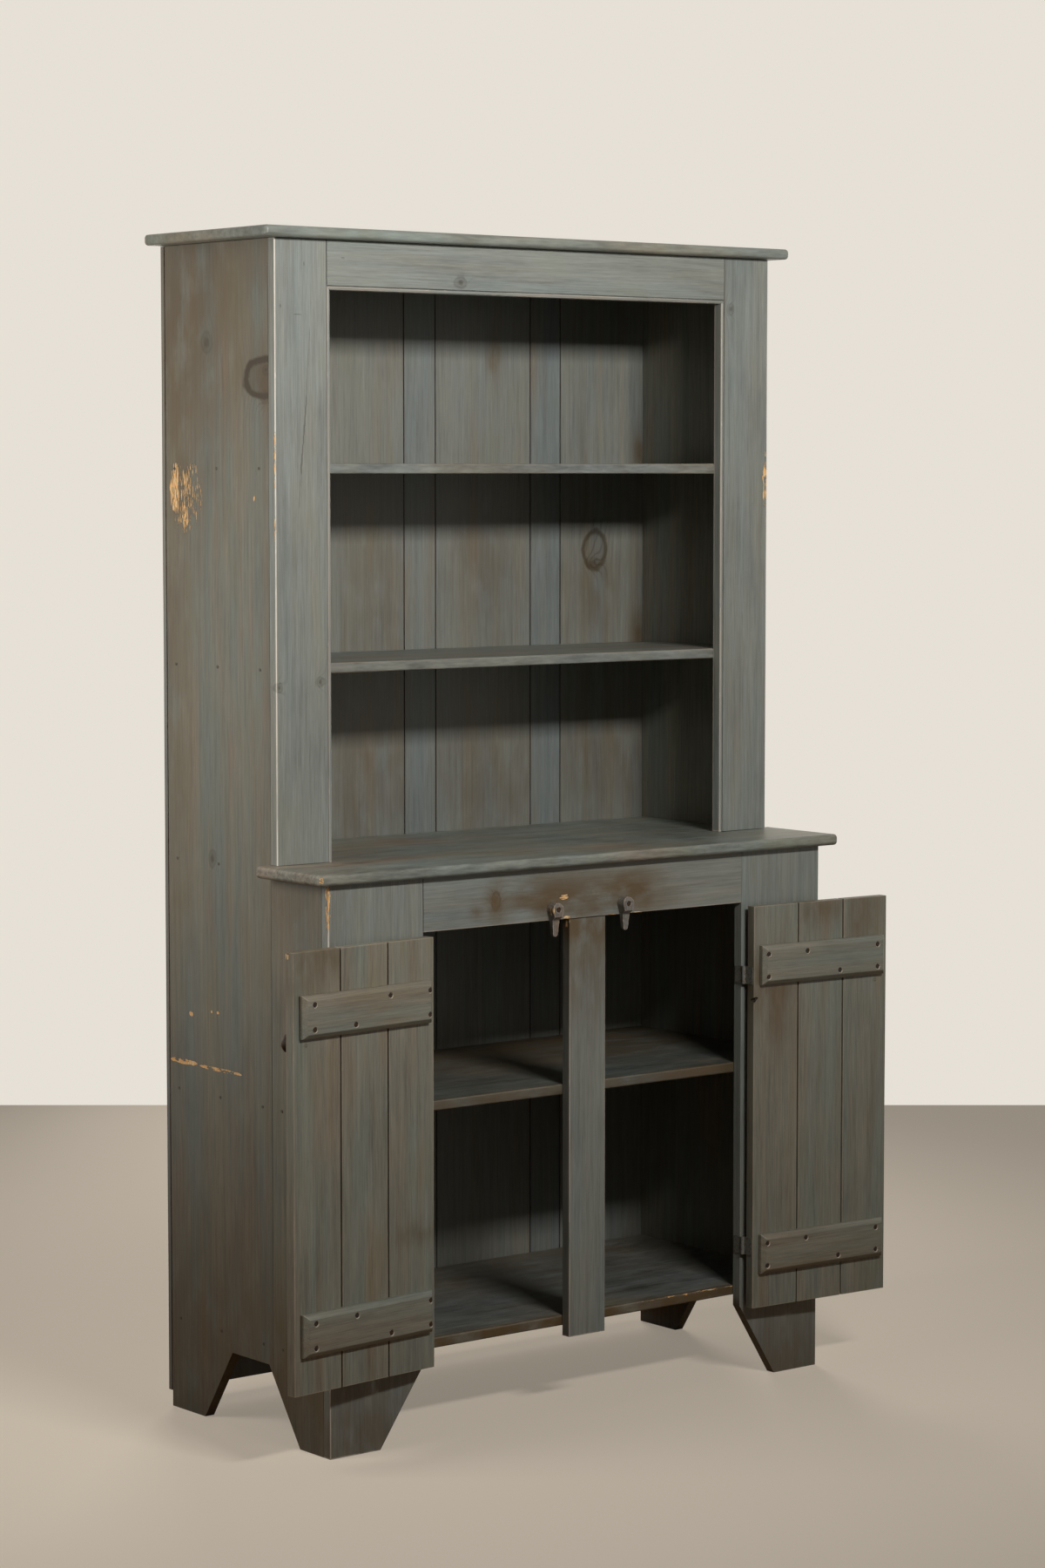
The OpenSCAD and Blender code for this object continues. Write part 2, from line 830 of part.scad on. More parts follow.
module door_knob_screw(side) {
  color(old_iron) on_door(side) knob_screw_place()
    screw(screw_r, screw_head_r, screw_head_t, knob_screw_len);
}

// Turn buttons

// Puts a pivot's axis on Z, with the frame's face at z = 0 and the front towards +Z
module turn_button_place(side) {
  translate([opening_shift + side * button_x, 0, button_z]) rotate([90, 0, 0]) children();
}

module turn_button_places() {
  for (side = [left, right]) turn_button_place(side) children();
}

module pivot_screw_hole() {
  translate([0, 0, -pivot_reach - cut / 2]) cylinder(h = pivot_reach + cut, r = screw_r + hole_gap);
}

module turn_button_screws() {
  under_head = pivot_head_z - screw_head_t;
  color(old_iron) in_place() turn_button_places() difference() {
    union() {
      translate([0, 0, under_head]) cylinder(h = screw_head_t, r = screw_head_r);
      translate([0, 0, -pivot_reach]) cylinder(h = pivot_reach + under_head + screw_head_t / 2, r = screw_r);
    }
    translate([0, 0, pivot_head_z]) driver_slot(screw_head_r, screw_head_t);
  }
}

module button_outline() {
  circle(button_r);
  polygon([
    [-button_r, 0],
    [-neck_half_w, -button_neck],
    [-tip_half_w, -button_reach + tip_half_w],
    [tip_half_w, -button_reach + tip_half_w],
    [neck_half_w, -button_neck],
    [button_r, 0]
  ]);
  translate([0, -button_reach + tip_half_w]) circle(tip_half_w);
}

// A button from its side: a thick head whose top edge is pared off, and a thinner tail
module button_profile() {
  head = seat_gap + button_t;
  tail = seat_gap + button_tail_t;
  pared = button_r / 4;
  polygon([
    [button_r + cut, seat_gap],
    [button_r + cut, head - pared],
    [button_r - 2 * pared, head],
    [-button_r, head],
    [-button_neck - pared, tail],
    [-button_reach - cut, tail - pared / 2],
    [-button_reach - cut, seat_gap]
  ]);
}

module turn_button(side) {
  half = button_r + cut;
  floor_z = seat_gap + button_t - pivot_sink;
  color(frame_paint) in_place() turn_button_place(side) difference() {
    intersection() {
      translate([0, 0, seat_gap]) linear_extrude(button_t) button_outline();
      translate([-half, 0, 0]) rotate([90, 0, 90]) linear_extrude(2 * half) button_profile();
    }
    cylinder(h = 2 * button_t, r = screw_r + turn_gap);
    translate([0, 0, floor_z]) cylinder(h = pivot_sink + cut, r = screw_head_r + head_gap);
  }
}

side_board(left);  // side_board_left
side_board(right);  // side_board_right
side_front(left);  // side_front_left
side_front(right);  // side_front_right
top_board();
counter_board();
upper_stile(left);  // upper_stile_left
upper_stile(right);  // upper_stile_right
upper_rail();
upper_bead_side(left);  // upper_bead_left
upper_bead_side(right);  // upper_bead_right
upper_bead_top();
lower_stile(left);  // lower_stile_left
lower_stile(right);  // lower_stile_right
lower_rail();
centre_stile();
shelf_top();
shelf_middle();
shelf_lower();
shelf_bottom();
back_board(1);  // back_board_1
back_board(2);  // back_board_2
back_board(3);  // back_board_3
back_board(4);  // back_board_4
back_board(5);  // back_board_5
back_board(6);  // back_board_6
back_board(7);  // back_board_7
side_nails(left);  // side_nails_left
side_nails(right);  // side_nails_right
back_nails();
door_plank(left, 1);  // left_door_plank_1
door_plank(left, 2);  // left_door_plank_2
door_plank(left, 3);  // left_door_plank_3
door_batten(left, batten_high_z, false);  // left_door_batten_upper
door_batten(left, batten_low_z, true);  // left_door_batten_lower
door_batten_screws(left);  // left_door_batten_screws
door_knob(left);  // left_door_knob
door_knob_screw(left);  // left_door_knob_screw
door_hinge_leaves(left);  // left_door_hinge_leaves
door_hinge_screws(left);  // left_door_hinge_screws
door_plank(right, 1);  // right_door_plank_1
door_plank(right, 2);  // right_door_plank_2
door_plank(right, 3);  // right_door_plank_3
door_batten(right, batten_high_z, false);  // right_door_batten_upper
door_batten(right, batten_low_z, false);  // right_door_batten_lower
door_batten_screws(right);  // right_door_batten_screws
door_knob(right);  // right_door_knob
door_knob_screw(right);  // right_door_knob_screw
door_hinge_leaves(right);  // right_door_hinge_leaves
door_hinge_screws(right);  // right_door_hinge_screws
frame_hinge_leaves();
frame_hinge_screws();
hinge_pins();
turn_button(left);  // left_turn_button
turn_button(right);  // right_turn_button
turn_button_screws();
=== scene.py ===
"""A stepback kitchen cupboard in worn grey paint, made and dressed board by board.

Metres. X runs across the front, Y from the front to the back and Z up, with the floor at Z = 0.
"""

import json
import logging
import math
from contextlib import contextmanager
from dataclasses import dataclass, field, replace
from enum import Enum
from functools import partial
from typing import Callable, Iterator, Union

import bpy
from mathutils import Matrix, Vector


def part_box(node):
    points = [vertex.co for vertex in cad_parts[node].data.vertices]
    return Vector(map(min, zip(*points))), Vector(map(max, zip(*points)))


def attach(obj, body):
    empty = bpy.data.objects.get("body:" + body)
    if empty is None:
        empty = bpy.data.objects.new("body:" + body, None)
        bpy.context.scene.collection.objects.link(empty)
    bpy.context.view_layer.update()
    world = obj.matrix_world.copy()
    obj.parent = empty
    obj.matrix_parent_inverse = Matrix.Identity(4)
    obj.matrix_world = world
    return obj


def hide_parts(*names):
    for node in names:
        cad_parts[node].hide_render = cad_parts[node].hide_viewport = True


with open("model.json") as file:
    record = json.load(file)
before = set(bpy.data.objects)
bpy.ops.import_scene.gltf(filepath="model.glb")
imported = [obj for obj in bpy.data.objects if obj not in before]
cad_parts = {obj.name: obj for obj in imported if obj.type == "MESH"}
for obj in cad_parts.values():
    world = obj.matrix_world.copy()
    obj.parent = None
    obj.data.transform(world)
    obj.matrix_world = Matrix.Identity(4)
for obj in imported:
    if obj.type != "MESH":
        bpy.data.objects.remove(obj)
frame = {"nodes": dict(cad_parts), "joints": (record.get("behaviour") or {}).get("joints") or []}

log = logging.getLogger("cupboard")

Colour = tuple[float, float, float, float]
Point = tuple[float, float, float]
Cut = tuple[Vector, Vector]
Cutter = Callable[[Vector, Vector], bpy.types.Object]
Input = Union["Signal", float, Colour, Point]


def tone(red: int, green: int, blue: int) -> Colour:
    """Turns a screen colour, with its parts from 0 to 255, into the linear colour that a shader works with."""
    linear = [((part / 255 + 0.055) / 1.055) ** 2.4 for part in (red, green, blue)]
    return (linear[0], linear[1], linear[2], 1.0)


class Grain(Enum):
    """The way the grain of a board runs, as the axis along it, across it and through it."""

    ACROSS = (0, 2, 1)
    FLAT = (0, 1, 2)
    UPRIGHT = (2, 0, 1)
    SIDEWAYS = (2, 1, 0)


class Face(Enum):
    """A face of a board, as its axis and whether it lies at the high end of that axis."""

    LEFT = (0, False)
    RIGHT = (0, True)
    FRONT = (1, False)
    BACK = (1, True)
    UNDER = (2, False)
    TOP = (2, True)


class Kind(Enum):
    """The kinds of mark that show on the boards."""

    KNOT = "knot"
    RING = "ring"
    STAIN = "stain"
    BARE = "bare"
    SCRATCH = "scratch"
    DENT = "dent"


LEFT, RIGHT, FRONT, BACK, UNDER, TOP = Face
KNOT, RING, STAIN, BARE, SCRATCH, DENT = Kind

# How far a sheltered arris is held off, so that it doesn't wear.
SHELTER = 0.03
# How far a cutter reaches past the wood.
MARGIN = Vector((0.01, 0.01, 0.01))
# Faces that meet at less than this angle are left smooth.
FLAT_ANGLE = math.radians(40)


@dataclass(frozen=True)
class Finish:
    """Paint on pine: its colours, how much they vary, how worn the arrises are with their painted highlight, and how
    fine the grain is.
    """

    name: str
    slot: str
    paint: Colour
    cool: Colour
    warm: Colour
    bare: Colour
    streaks: float = 0.7
    contrast: float = 1.0
    wear: float = 0.5
    roughness: float = 0.45
    coarse: float = 1.0
    carved: bool = False

    @property
    def stain(self) -> Colour:
        """The darker, olive tone of the paint where the wood's resin has come through."""
        red, green, blue, alpha = self.paint
        return (red * 0.62, green * 0.58, blue * 0.42, alpha)


@dataclass(frozen=True)
class Iron:
    """A plain iron finish: its colour, the colour of its rust or chips, and its gloss."""

    name: str
    slot: str
    colour: Colour
    spots: Colour
    metallic: float = 0.0
    roughness: float = 0.5


FRAME_PAINT = Finish(
    "frame paint", "frame_paint",
    paint=tone(134, 137, 130), cool=tone(126, 135, 133), warm=tone(140, 132, 118), bare=tone(208, 194, 180),
    streaks=0.55, contrast=1.5, wear=0.75,
)
# The left stiles' paint: a paler, stronger arris line, partly worn paint and partly a painted highlight of the light
# on the rounded arris.
HIGHLIT_CORNER_PAINT = replace(FRAME_PAINT, name="corner paint with painted highlight", bare=tone(240, 230, 216), wear=1.05)
SIDE_PAINT = Finish(
    "side paint", "side_paint",
    paint=tone(122, 119, 105), cool=tone(112, 117, 110), warm=tone(126, 112, 95), bare=tone(150, 138, 122),
    streaks=1.0, contrast=1.7,
)
INSIDE_PAINT = Finish(
    "inside paint", "inside_paint",
    paint=tone(126, 127, 119), cool=tone(120, 126, 124), warm=tone(128, 116, 98), bare=tone(84, 56, 42),
    streaks=0.6, contrast=1.3, wear=0.6,
)
NARROW_PAINT = replace(INSIDE_PAINT, name="narrow board paint", paint=tone(122, 126, 121), cool=tone(117, 125, 126))
SHELF_PAINT = replace(
    INSIDE_PAINT, name="shelf paint", bare=tone(166, 148, 122), streaks=0.9, contrast=2.6, wear=0.8, coarse=0.2
)
# A darker copy of the shelf paint for the lower shelf: painted shade of the dim lower compartment.
SHADED_SHELF_PAINT = replace(SHELF_PAINT, name="lower shelf paint", paint=tone(106, 106, 98), cool=tone(98, 105, 102))
COUNTER_PAINT = Finish(
    "counter paint", "inside_paint",
    paint=tone(134, 132, 120), cool=tone(124, 132, 126), warm=tone(148, 128, 108), bare=tone(184, 162, 138),
    streaks=1.0, contrast=3.0, wear=0.9, roughness=0.4, coarse=0.2,
)
TOP_PAINT = replace(COUNTER_PAINT, name="top paint", slot="frame_paint", contrast=2.0)
DOOR_PAINT = Finish(
    "door paint", "door_paint",
    paint=tone(136, 131, 117), cool=tone(128, 132, 122), warm=tone(132, 119, 100), bare=tone(176, 160, 138),
    streaks=0.95, contrast=1.7, wear=0.55,
)
BUTTON_PAINT = Finish(
    "button paint", "frame_paint",
    paint=tone(126, 120, 110), cool=tone(108, 106, 100), warm=tone(134, 114, 98), bare=tone(206, 184, 168),
    streaks=0.9, contrast=1.6, wear=0.9, roughness=0.36, carved=True,
)
KNOB_WOOD = Finish(
    "knob wood", "dark_knob_wood",
    paint=tone(52, 42, 34), cool=tone(44, 38, 34), warm=tone(66, 50, 38), bare=tone(90, 70, 52),
    roughness=0.4, carved=True,
)
HOLE_WOOD = Finish(
    "hole wood", "door_paint",
    paint=tone(190, 180, 160), cool=tone(176, 170, 154), warm=tone(196, 176, 150), bare=tone(190, 180, 160),
)
# The walls of the notch knocked out of the right door are old torn wood, darkened further as painted shade of the
# hollow.
SHADED_TORN_WOOD = replace(HOLE_WOOD, name="torn wood in painted shade", paint=tone(58, 50, 40), cool=tone(40, 36, 30), warm=tone(70, 56, 42))
OLD_IRON = Iron("old iron", "old_iron", tone(60, 56, 52), tone(78, 52, 36), metallic=0.7, roughness=0.6)
PAINTED_IRON = Iron("painted hinge iron", "painted_hinge_iron", tone(118, 118, 110), tone(96, 88, 76))
PAINTED_NAIL = Iron("painted nail", "old_iron", tone(84, 80, 70), tone(66, 58, 48))
PAINTED_SCREW = Iron("painted screw", "old_iron", tone(116, 113, 100), tone(100, 94, 80))
KNOT_BROWN = tone(50, 38, 14)
OIL_BROWN = tone(92, 74, 48)
BARE_PINE = tone(250, 192, 122)
BARE_PALE = tone(252, 226, 180)
BARE_RIM = tone(70, 62, 50)


@dataclass(frozen=True)
class Mark:
    """A mark on a board: its kind, its middle, half its size along each axis, and its strength."""

    kind: Kind
    centre: Point
    reach: Point
    strength: float = 1.0


@dataclass(frozen=True)
class Plane:
    """A face of the cupboard that marks lie on: the axis that it faces along, and where it stands there."""

    axis: int
    at: float

    def point(self, own: float, first: float, second: float) -> Point:
        """Puts the number for the face's own axis in its place among those for the other two."""
        others = (first, second)
        return (*others[:self.axis], own, *others[self.axis:])

    def marks(self, *rows: tuple) -> tuple[Mark, ...]:
        """Lists marks on this face.

        Args:
            *rows: For each mark its kind, the two numbers of its middle, half its width and height, how
                deep it reaches, and its strength unless that is 1.

        Returns:
            The marks.
        """
        return tuple(
            Mark(kind, self.point(self.at, first, second), self.point(depth, wide, high), *strength)
            for kind, first, second, wide, high, depth, *strength in rows
        )

    def crack(
        self, top: tuple[float, float], foot: tuple[float, float], steps: int, strength: float
    ) -> tuple[Mark, ...]:
        """Strings short upright dents along a line, so that a crack can run a little aslant to the grain.

        Args:
            top: The crack's upper end.
            foot: Its lower end.
            steps: How many dents make it.
            strength: How much it shows.

        Returns:
            The dents.
        """
        half = 0.65 * (top[1] - foot[1]) / steps
        spots = [Vector(top).lerp(Vector(foot), (step + 0.5) / steps) for step in range(steps)]
        return self.marks(*((DENT, *spot, 0.0011, half, 0.01, strength) for spot in spots))


LEFT_SIDE = Plane(0, -0.537)
UPPER_FRONT = Plane(1, -0.058)
LOWER_FRONT = Plane(1, -0.2006)
SHELF_FRONT = Plane(1, -0.181)
BACK_FRONT = Plane(1, 0.2664)
DOOR_FRONT = Plane(1, -0.23)

# What shows on one board alone, by the board's node. Each mark stands where the photograph has it.
MARKS: dict[str, tuple[Mark, ...]] = {
    "side_board_left": LEFT_SIDE.marks(
        (STAIN, 0.2, 1.84, 0.11, 0.2, 0.03, 0.75),
        (STAIN, 0.03, 1.95, 0.1, 0.05, 0.03, 0.4),
        # This patch makes the side darker towards the floor.
        (STAIN, 0.1, 0.12, 0.3, 0.16, 0.03, 0.5),
        (STAIN, 0.24, 1.35, 0.03, 0.4, 0.03, 0.45),
        (STAIN, -0.04, 1.3, 0.02, 0.45, 0.03, 0.35),
        (BARE, 0.205, 1.565, 0.055, 0.085, 0.03, 0.84),
        (BARE, 0.2377, 1.574, 0.018, 0.056, 0.03, 1.12),
        (BARE, 0.2045, 1.581, 0.01, 0.026, 0.03, 1.05),
        (BARE, 0.2076, 1.528, 0.015, 0.023, 0.03, 1.05),
        (BARE, 0.0041, 1.5598, 0.0035, 0.006, 0.01, 1.1),
        (SCRATCH, 0.222, 0.604, 0.05, 0.006, 0.03),
        (SCRATCH, 0.115, 0.602, 0.08, 0.004, 0.03),
        (SCRATCH, 0.2005, 0.6877, 0.007, 0.005, 0.03),
        (SCRATCH, 0.138, 0.698, 0.003, 0.003, 0.03, 0.9),
        (SCRATCH, 0.1196, 0.6982, 0.004, 0.003, 0.03, 0.9),
        (STAIN, -0.035, 1.752, 0.05, 0.032, 0.03, 0.9),
        (RING, -0.026, 1.756, 0.06, 0.034, 0.03, 1.3),
        (KNOT, -0.033, 1.768, 0.012, 0.01, 0.02),
        (KNOT, -0.03, 1.724, 0.014, 0.012, 0.02, 0.8),
        (KNOT, 0.1398, 1.8175, 0.018, 0.02, 0.03, 0.8),
        (KNOT, 0.132, 0.957, 0.013, 0.016, 0.03, 0.9),
    ),
    "side_front_left": LEFT_SIDE.marks(
        # This patch, just under the counter, is painted shade under the counter's overhang.
        (STAIN, -0.1, 0.9, 0.1, 0.05, 0.03, 0.5),
        # This patch makes the board darker towards the floor.
        (STAIN, -0.1, 0.1, 0.2, 0.12, 0.03, 0.5),
    ),
    "shelf_lower": SHELF_FRONT.marks(
        (STAIN, -0.28, 0.556, 0.2, 0.014, 0.007, 0.7),
        (STAIN, 0.28, 0.556, 0.25, 0.014, 0.007, 0.9),
    ) + Plane(2, 0.5655).marks(
        # The two patches at the back of the shelf's top are painted shade, darker towards the back.
        (STAIN, -0.2, 0.26, 0.5, 0.12, 0.03, 0.8),
        (STAIN, 0.35, 0.24, 0.3, 0.14, 0.03, 0.7),
    ),
    # The patch at the back of the bottom shelf's top makes it darker towards the back.
    "shelf_bottom": Plane(2, 0.167).marks((STAIN, 0.0, 0.26, 0.6, 0.2, 0.03, 0.6)) + SHELF_FRONT.marks(
        (STAIN, 0.0, 0.1575, 0.6, 0.014, 0.007, 1.1),
        (BARE, 0.3, 0.165, 0.2, 0.003, 0.004, 0.9),
    ),
    "counter_board": (Mark(BARE, (-0.566, -0.2206, 0.95), (0.008, 0.008, 0.01)),),
    "back_board_3": BACK_FRONT.marks(
        (STAIN, -0.12, 1.09, 0.08, 0.1, 0.03, 0.5),
        (STAIN, -0.1, 1.42, 0.06, 0.12, 0.03, 0.4),
    ),
    "back_board_5": BACK_FRONT.marks(
        (STAIN, 0.143, 1.44, 0.05, 0.09, 0.03, 0.5),
        (STAIN, 0.167, 1.813, 0.011, 0.03, 0.03, 0.9),
        (STAIN, 0.15, 1.06, 0.1, 0.09, 0.03, 0.45),
    ),
    "back_board_7": BACK_FRONT.marks(
        (RING, 0.403, 1.459, 0.03, 0.038, 0.03, 0.8),
        (KNOT, 0.398, 1.436, 0.02, 0.011, 0.03, 0.7),
        (STAIN, 0.41, 1.39, 0.045, 0.06, 0.03, 0.5),
        # These two small patches darken the corner where the back meets the right side, just above each shelf.
        (STAIN, 0.512, 1.635, 0.014, 0.03, 0.03, 0.9),
        (STAIN, 0.51, 1.3, 0.014, 0.03, 0.03, 0.8),
        (STAIN, 0.43, 1.07, 0.09, 0.08, 0.03, 0.45),
    ),
    "upper_stile_left": (
        *UPPER_FRONT.marks(
            (KNOT, -0.531, 1.2518, 0.008, 0.009, 0.02, 0.8),
            (KNOT, -0.449, 1.2589, 0.009, 0.01, 0.02, 0.8),
            (DENT, -0.478, 1.94, 0.0015, 0.004, 0.01, 0.6),
            (DENT, -0.525, 1.871, 0.002, 0.003, 0.01, 0.7),
            (DENT, -0.491, 1.858, 0.01, 0.001, 0.01, 0.5),
        ),
        *UPPER_FRONT.crack((-0.4668, 1.836), (-0.4734, 1.73), 5, 0.4),
        *UPPER_FRONT.crack((-0.4734, 1.726), (-0.4856, 1.6), 8, 0.9),
        *UPPER_FRONT.crack((-0.4864, 1.59), (-0.4893, 1.545), 3, 0.4),
        *Plane(1, -0.0575).marks(
            (BARE, -0.5375, 1.62, 0.003, 0.06, 0.004, 1.1),
            (BARE, -0.5375, 1.51, 0.003, 0.03, 0.004, 1.1),
        ),
    ),
    "upper_stile_right": UPPER_FRONT.marks(
        (BARE, 0.532, 1.585, 0.009, 0.055, 0.02),
        (KNOT, 0.4476, 1.8906, 0.009, 0.012, 0.02, 0.7),
    ),
    "upper_rail": UPPER_FRONT.marks(
        (KNOT, -0.157, 1.9195, 0.014, 0.011, 0.03, 0.9),
        (DENT, -0.4, 1.952, 0.004, 0.0015, 0.01, 0.5),
    ),
    "lower_stile_left": Plane(1, -0.2).marks((SCRATCH, -0.5365, 0.926, 0.0055, 0.014, 0.01)) + LOWER_FRONT.marks(
        (BARE, -0.537, 0.9, 0.005, 0.045, 0.01, 1.05),
        # The patch at the foot makes the stile darker towards the floor.
        (STAIN, -0.47, 0.02, 0.1, 0.08, 0.03, 0.6),
    ),
    # The patch at the foot makes the right lower stile darker towards the floor.
    "lower_stile_right": LOWER_FRONT.marks((STAIN, 0.47, 0.02, 0.1, 0.08, 0.03, 0.6)),
    "lower_rail": LOWER_FRONT.marks(
        (STAIN, -0.085, 0.887, 0.055, 0.022, 0.05, 1.1),
        (STAIN, 0.0, 0.88, 0.11, 0.04, 0.05, 0.9),
        (STAIN, 0.1, 0.887, 0.045, 0.026, 0.05, 1.2),
        (RING, -0.1939, 0.8904, 0.01, 0.017, 0.03, 0.7),
        (STAIN, -0.1939, 0.8904, 0.014, 0.02, 0.03, 1.2),
        (STAIN, -0.2343, 0.8773, 0.01, 0.009, 0.03, 0.8),
        (BARE, -0.05, 0.8877, 0.014, 0.006, 0.02, 1.1),
        (BARE, -0.04, 0.852, 0.012, 0.004, 0.02),
        (BARE, 0.06, 0.8505, 0.016, 0.003, 0.02),
        (BARE, 0.118, 0.8505, 0.016, 0.003, 0.02),
    ),
    "centre_stile": LOWER_FRONT.marks(
        (STAIN, 0.0, 0.84, 0.07, 0.045, 0.05, 1.1),
        (STAIN, 0.0, 0.76, 0.04, 0.07, 0.05, 0.7),
        (BARE, -0.036, 0.842, 0.003, 0.01, 0.02),
    ),
    "left_door_plank_1": DOOR_FRONT.marks((STAIN, -0.38, 0.36, 0.03, 0.012, 0.04, 0.8)),
    "left_door_plank_3": DOOR_FRONT.marks(
        (STAIN, -0.645, 0.84, 0.04, 0.05, 0.04, 0.9),
        (STAIN, -0.57, 0.83, 0.03, 0.03, 0.04, 0.8),
        (BARE, -0.651, 0.838, 0.004, 0.008, 0.03, 1.1),
    ),
    "right_door_plank_1": (
        *DOOR_FRONT.marks(
            (STAIN, 0.39, 0.71, 0.035, 0.03, 0.04),
            (STAIN, 0.41, 0.66, 0.03, 0.06, 0.04, 0.6),
        ),
        Mark(BARE, (0.359, -0.236, 0.6715), (0.006, 0.004, 0.0035), 1.15),
    ),
    "right_door_plank_2": DOOR_FRONT.marks((STAIN, 0.5, 0.83, 0.05, 0.02, 0.04, 0.8)),
    "right_door_plank_3": DOOR_FRONT.marks((STAIN, 0.6, 0.82, 0.03, 0.04, 0.04, 0.8)),
    "left_turn_button": (Mark(BARE, (-0.083, -0.213, 0.867), (0.0035, 0.008, 0.011)),),
}


@dataclass(frozen=True)
class Signal:
    """A value that flows through a node tree. A sum on it adds a node to the tree."""

    wires: "Wiring"
    socket: bpy.types.NodeSocket

    def __add__(self, other: "Signal | float") -> "Signal":
        """Adds a signal or a number."""
        return self.wires.math("ADD", self, other)

    def __radd__(self, other: float) -> "Signal":
        """Adds to a number, as sum() does."""
        return self + other

    def __sub__(self, other: "Signal | float") -> "Signal":
        """Takes away a signal or a number."""
        return self.wires.math("SUBTRACT", self, other)

    def __mul__(self, other: "Signal | float") -> "Signal":
        """Multiplies by a signal or a number."""
        return self.wires.math("MULTIPLY", self, other)


@dataclass(frozen=True)
class Wiring:
    """Places nodes in a node tree and joins them."""

    tree: bpy.types.NodeTree

    def node(self, kind: str, **settings: object) -> bpy.types.Node:
        """Adds a node.

        Args:
            kind: The node's type name.
            **settings: Values for the node's own properties.

        Returns:
            The new node.
        """
        made = self.tree.nodes.new(kind)
        for name, value in settings.items():
            setattr(made, name, value)
        return made

    def out(self, node: bpy.types.Node, name: str | int = 0) -> Signal:
        """Gives what comes out of a node's output, told by its name or number."""
        return Signal(self, node.outputs[name])

    def feed(self, socket: bpy.types.NodeSocket, value: Input) -> None:
        """Links a signal to an input, or sets the input to a plain value.

        Args:
            socket: The input to feed.
            value: A signal, or a value that the input holds.
        """
        if isinstance(value, Signal):
            self.tree.links.new(value.socket, socket)
        else:
            socket.default_value = value

    def fill(self, node: bpy.types.Node, *values: Input, **named: Input) -> bpy.types.Node:
        """Feeds the inputs of a node.

        Args:
            node: The node.
            *values: What goes to its inputs in their order.
            **named: What goes to inputs by name, with _ for the spaces in a name.

        Returns:
            The node.
        """
        for socket, value in zip(node.inputs, values):
            self.feed(socket, value)
        for name, value in named.items():
            self.feed(node.inputs[name.replace("_", " ")], value)
        return node

    def math(self, operation: str, *values: Input) -> Signal:
        """Does a sum on numbers."""
        return self.out(self.fill(self.node("ShaderNodeMath", operation=operation), *values))

    def vector(self, operation: str, *values: Input) -> Signal:
        """Does a sum on vectors, which gives a number for a length."""
        made = self.fill(self.node("ShaderNodeVectorMath", operation=operation), *values)
        return self.out(made, "Value" if operation == "LENGTH" else "Vector")

    def scale(self, vector: Signal, factor: Signal) -> Signal:
        """Multiplies a vector or a colour by a number."""
        made = self.node("ShaderNodeVectorMath", operation="SCALE")
        return self.out(self.fill(made, vector, Scale=factor), "Vector")

    def split(self, vector: Signal) -> tuple[Signal, ...]:
        """Gives the three numbers of a vector."""
        made = self.fill(self.node("ShaderNodeSeparateXYZ"), vector)
        return tuple(self.out(made, index) for index in range(3))

    def noise(self, vector: Signal, scale: Point, detail: float = 2.0) -> Signal:
        """Samples noise.

        Args:
            vector: The point to sample.
            scale: What the point is first multiplied by.
            detail: How many finer layers of noise are added.

        Returns:
            A number around 0.5.
        """
        scaled = self.vector("MULTIPLY", vector, scale)
        made = self.node("ShaderNodeTexNoise")
        return self.out(self.fill(made, Vector=scaled, Scale=1.0, Detail=detail, Roughness=0.55), "Fac")

    def step(self, value: Signal, low: float, high: float) -> Signal:
        """Rises smoothly from 0 to 1, or falls from 1 to 0.

        Args:
            value: The signal to look at.
            low: Where 0 ends.
            high: Where 1 starts. The result falls where this is the smaller.

        Returns:
            The number between 0 and 1.
        """
        made = self.node("ShaderNodeMapRange", interpolation_type="SMOOTHSTEP")
        self.fill(made, Value=value, From_Min=min(low, high), From_Max=max(low, high))
        return self.out(self.fill(made, To_Min=float(low > high), To_Max=float(low < high)), "Result")

    def blend(self, factor: Signal, first: Input, second: Input) -> Signal:
        """Mixes two colours.

        Args:
            factor: How much of the second shows.
            first: A colour, or a signal that carries one.
            second: The other one.

        Returns:
            The mixed colour.
        """
        made = self.node("ShaderNodeMix", data_type="RGBA", clamp_factor=True)
        for index, value in ((0, factor), (6, first), (7, second)):
            self.feed(made.inputs[index], value)
        return self.out(made, 2)

    def group(self, tree: bpy.types.NodeTree, **values: Input) -> bpy.types.Node:
        """Places a node group, feeds its inputs by name and returns the node."""
        return self.fill(self.node("ShaderNodeGroup", node_tree=tree), **values)


def rewire(block: bpy.types.Material | bpy.types.World) -> Wiring:
    """Empties the node tree of a material or a world.

    Args:
        block: The material or world.

    Returns:
        The wiring of its tree.
    """
    block.use_nodes = True
    block.node_tree.nodes.clear()
    return Wiring(block.node_tree)


def new_group(name: str, inputs: dict[str, str], outputs: dict[str, str]) -> tuple[Wiring, dict, bpy.types.Node]:
    """Starts a shader node group.

    Args:
        name: The group's name.
        inputs: The kinds of its inputs, Float, Vector or Color, each with the names of that kind.
        outputs: The same for its outputs.

    Returns:
        The wiring of the group, what its inputs give by name, and its output node.
    """
    tree = bpy.data.node_groups.new(name, "ShaderNodeTree")
    for way, sockets in (("INPUT", inputs), ("OUTPUT", outputs)):
        for kind, names in sockets.items():
            for socket in names.split():
                tree.interface.new_socket(name=socket, in_out=way, socket_type=f"NodeSocket{kind}")
    wires = Wiring(tree)
    given = wires.node("NodeGroupInput")
    signals = {socket: wires.out(given, socket) for names in inputs.values() for socket in names.split()}
    return wires, signals, wires.node("NodeGroupOutput")


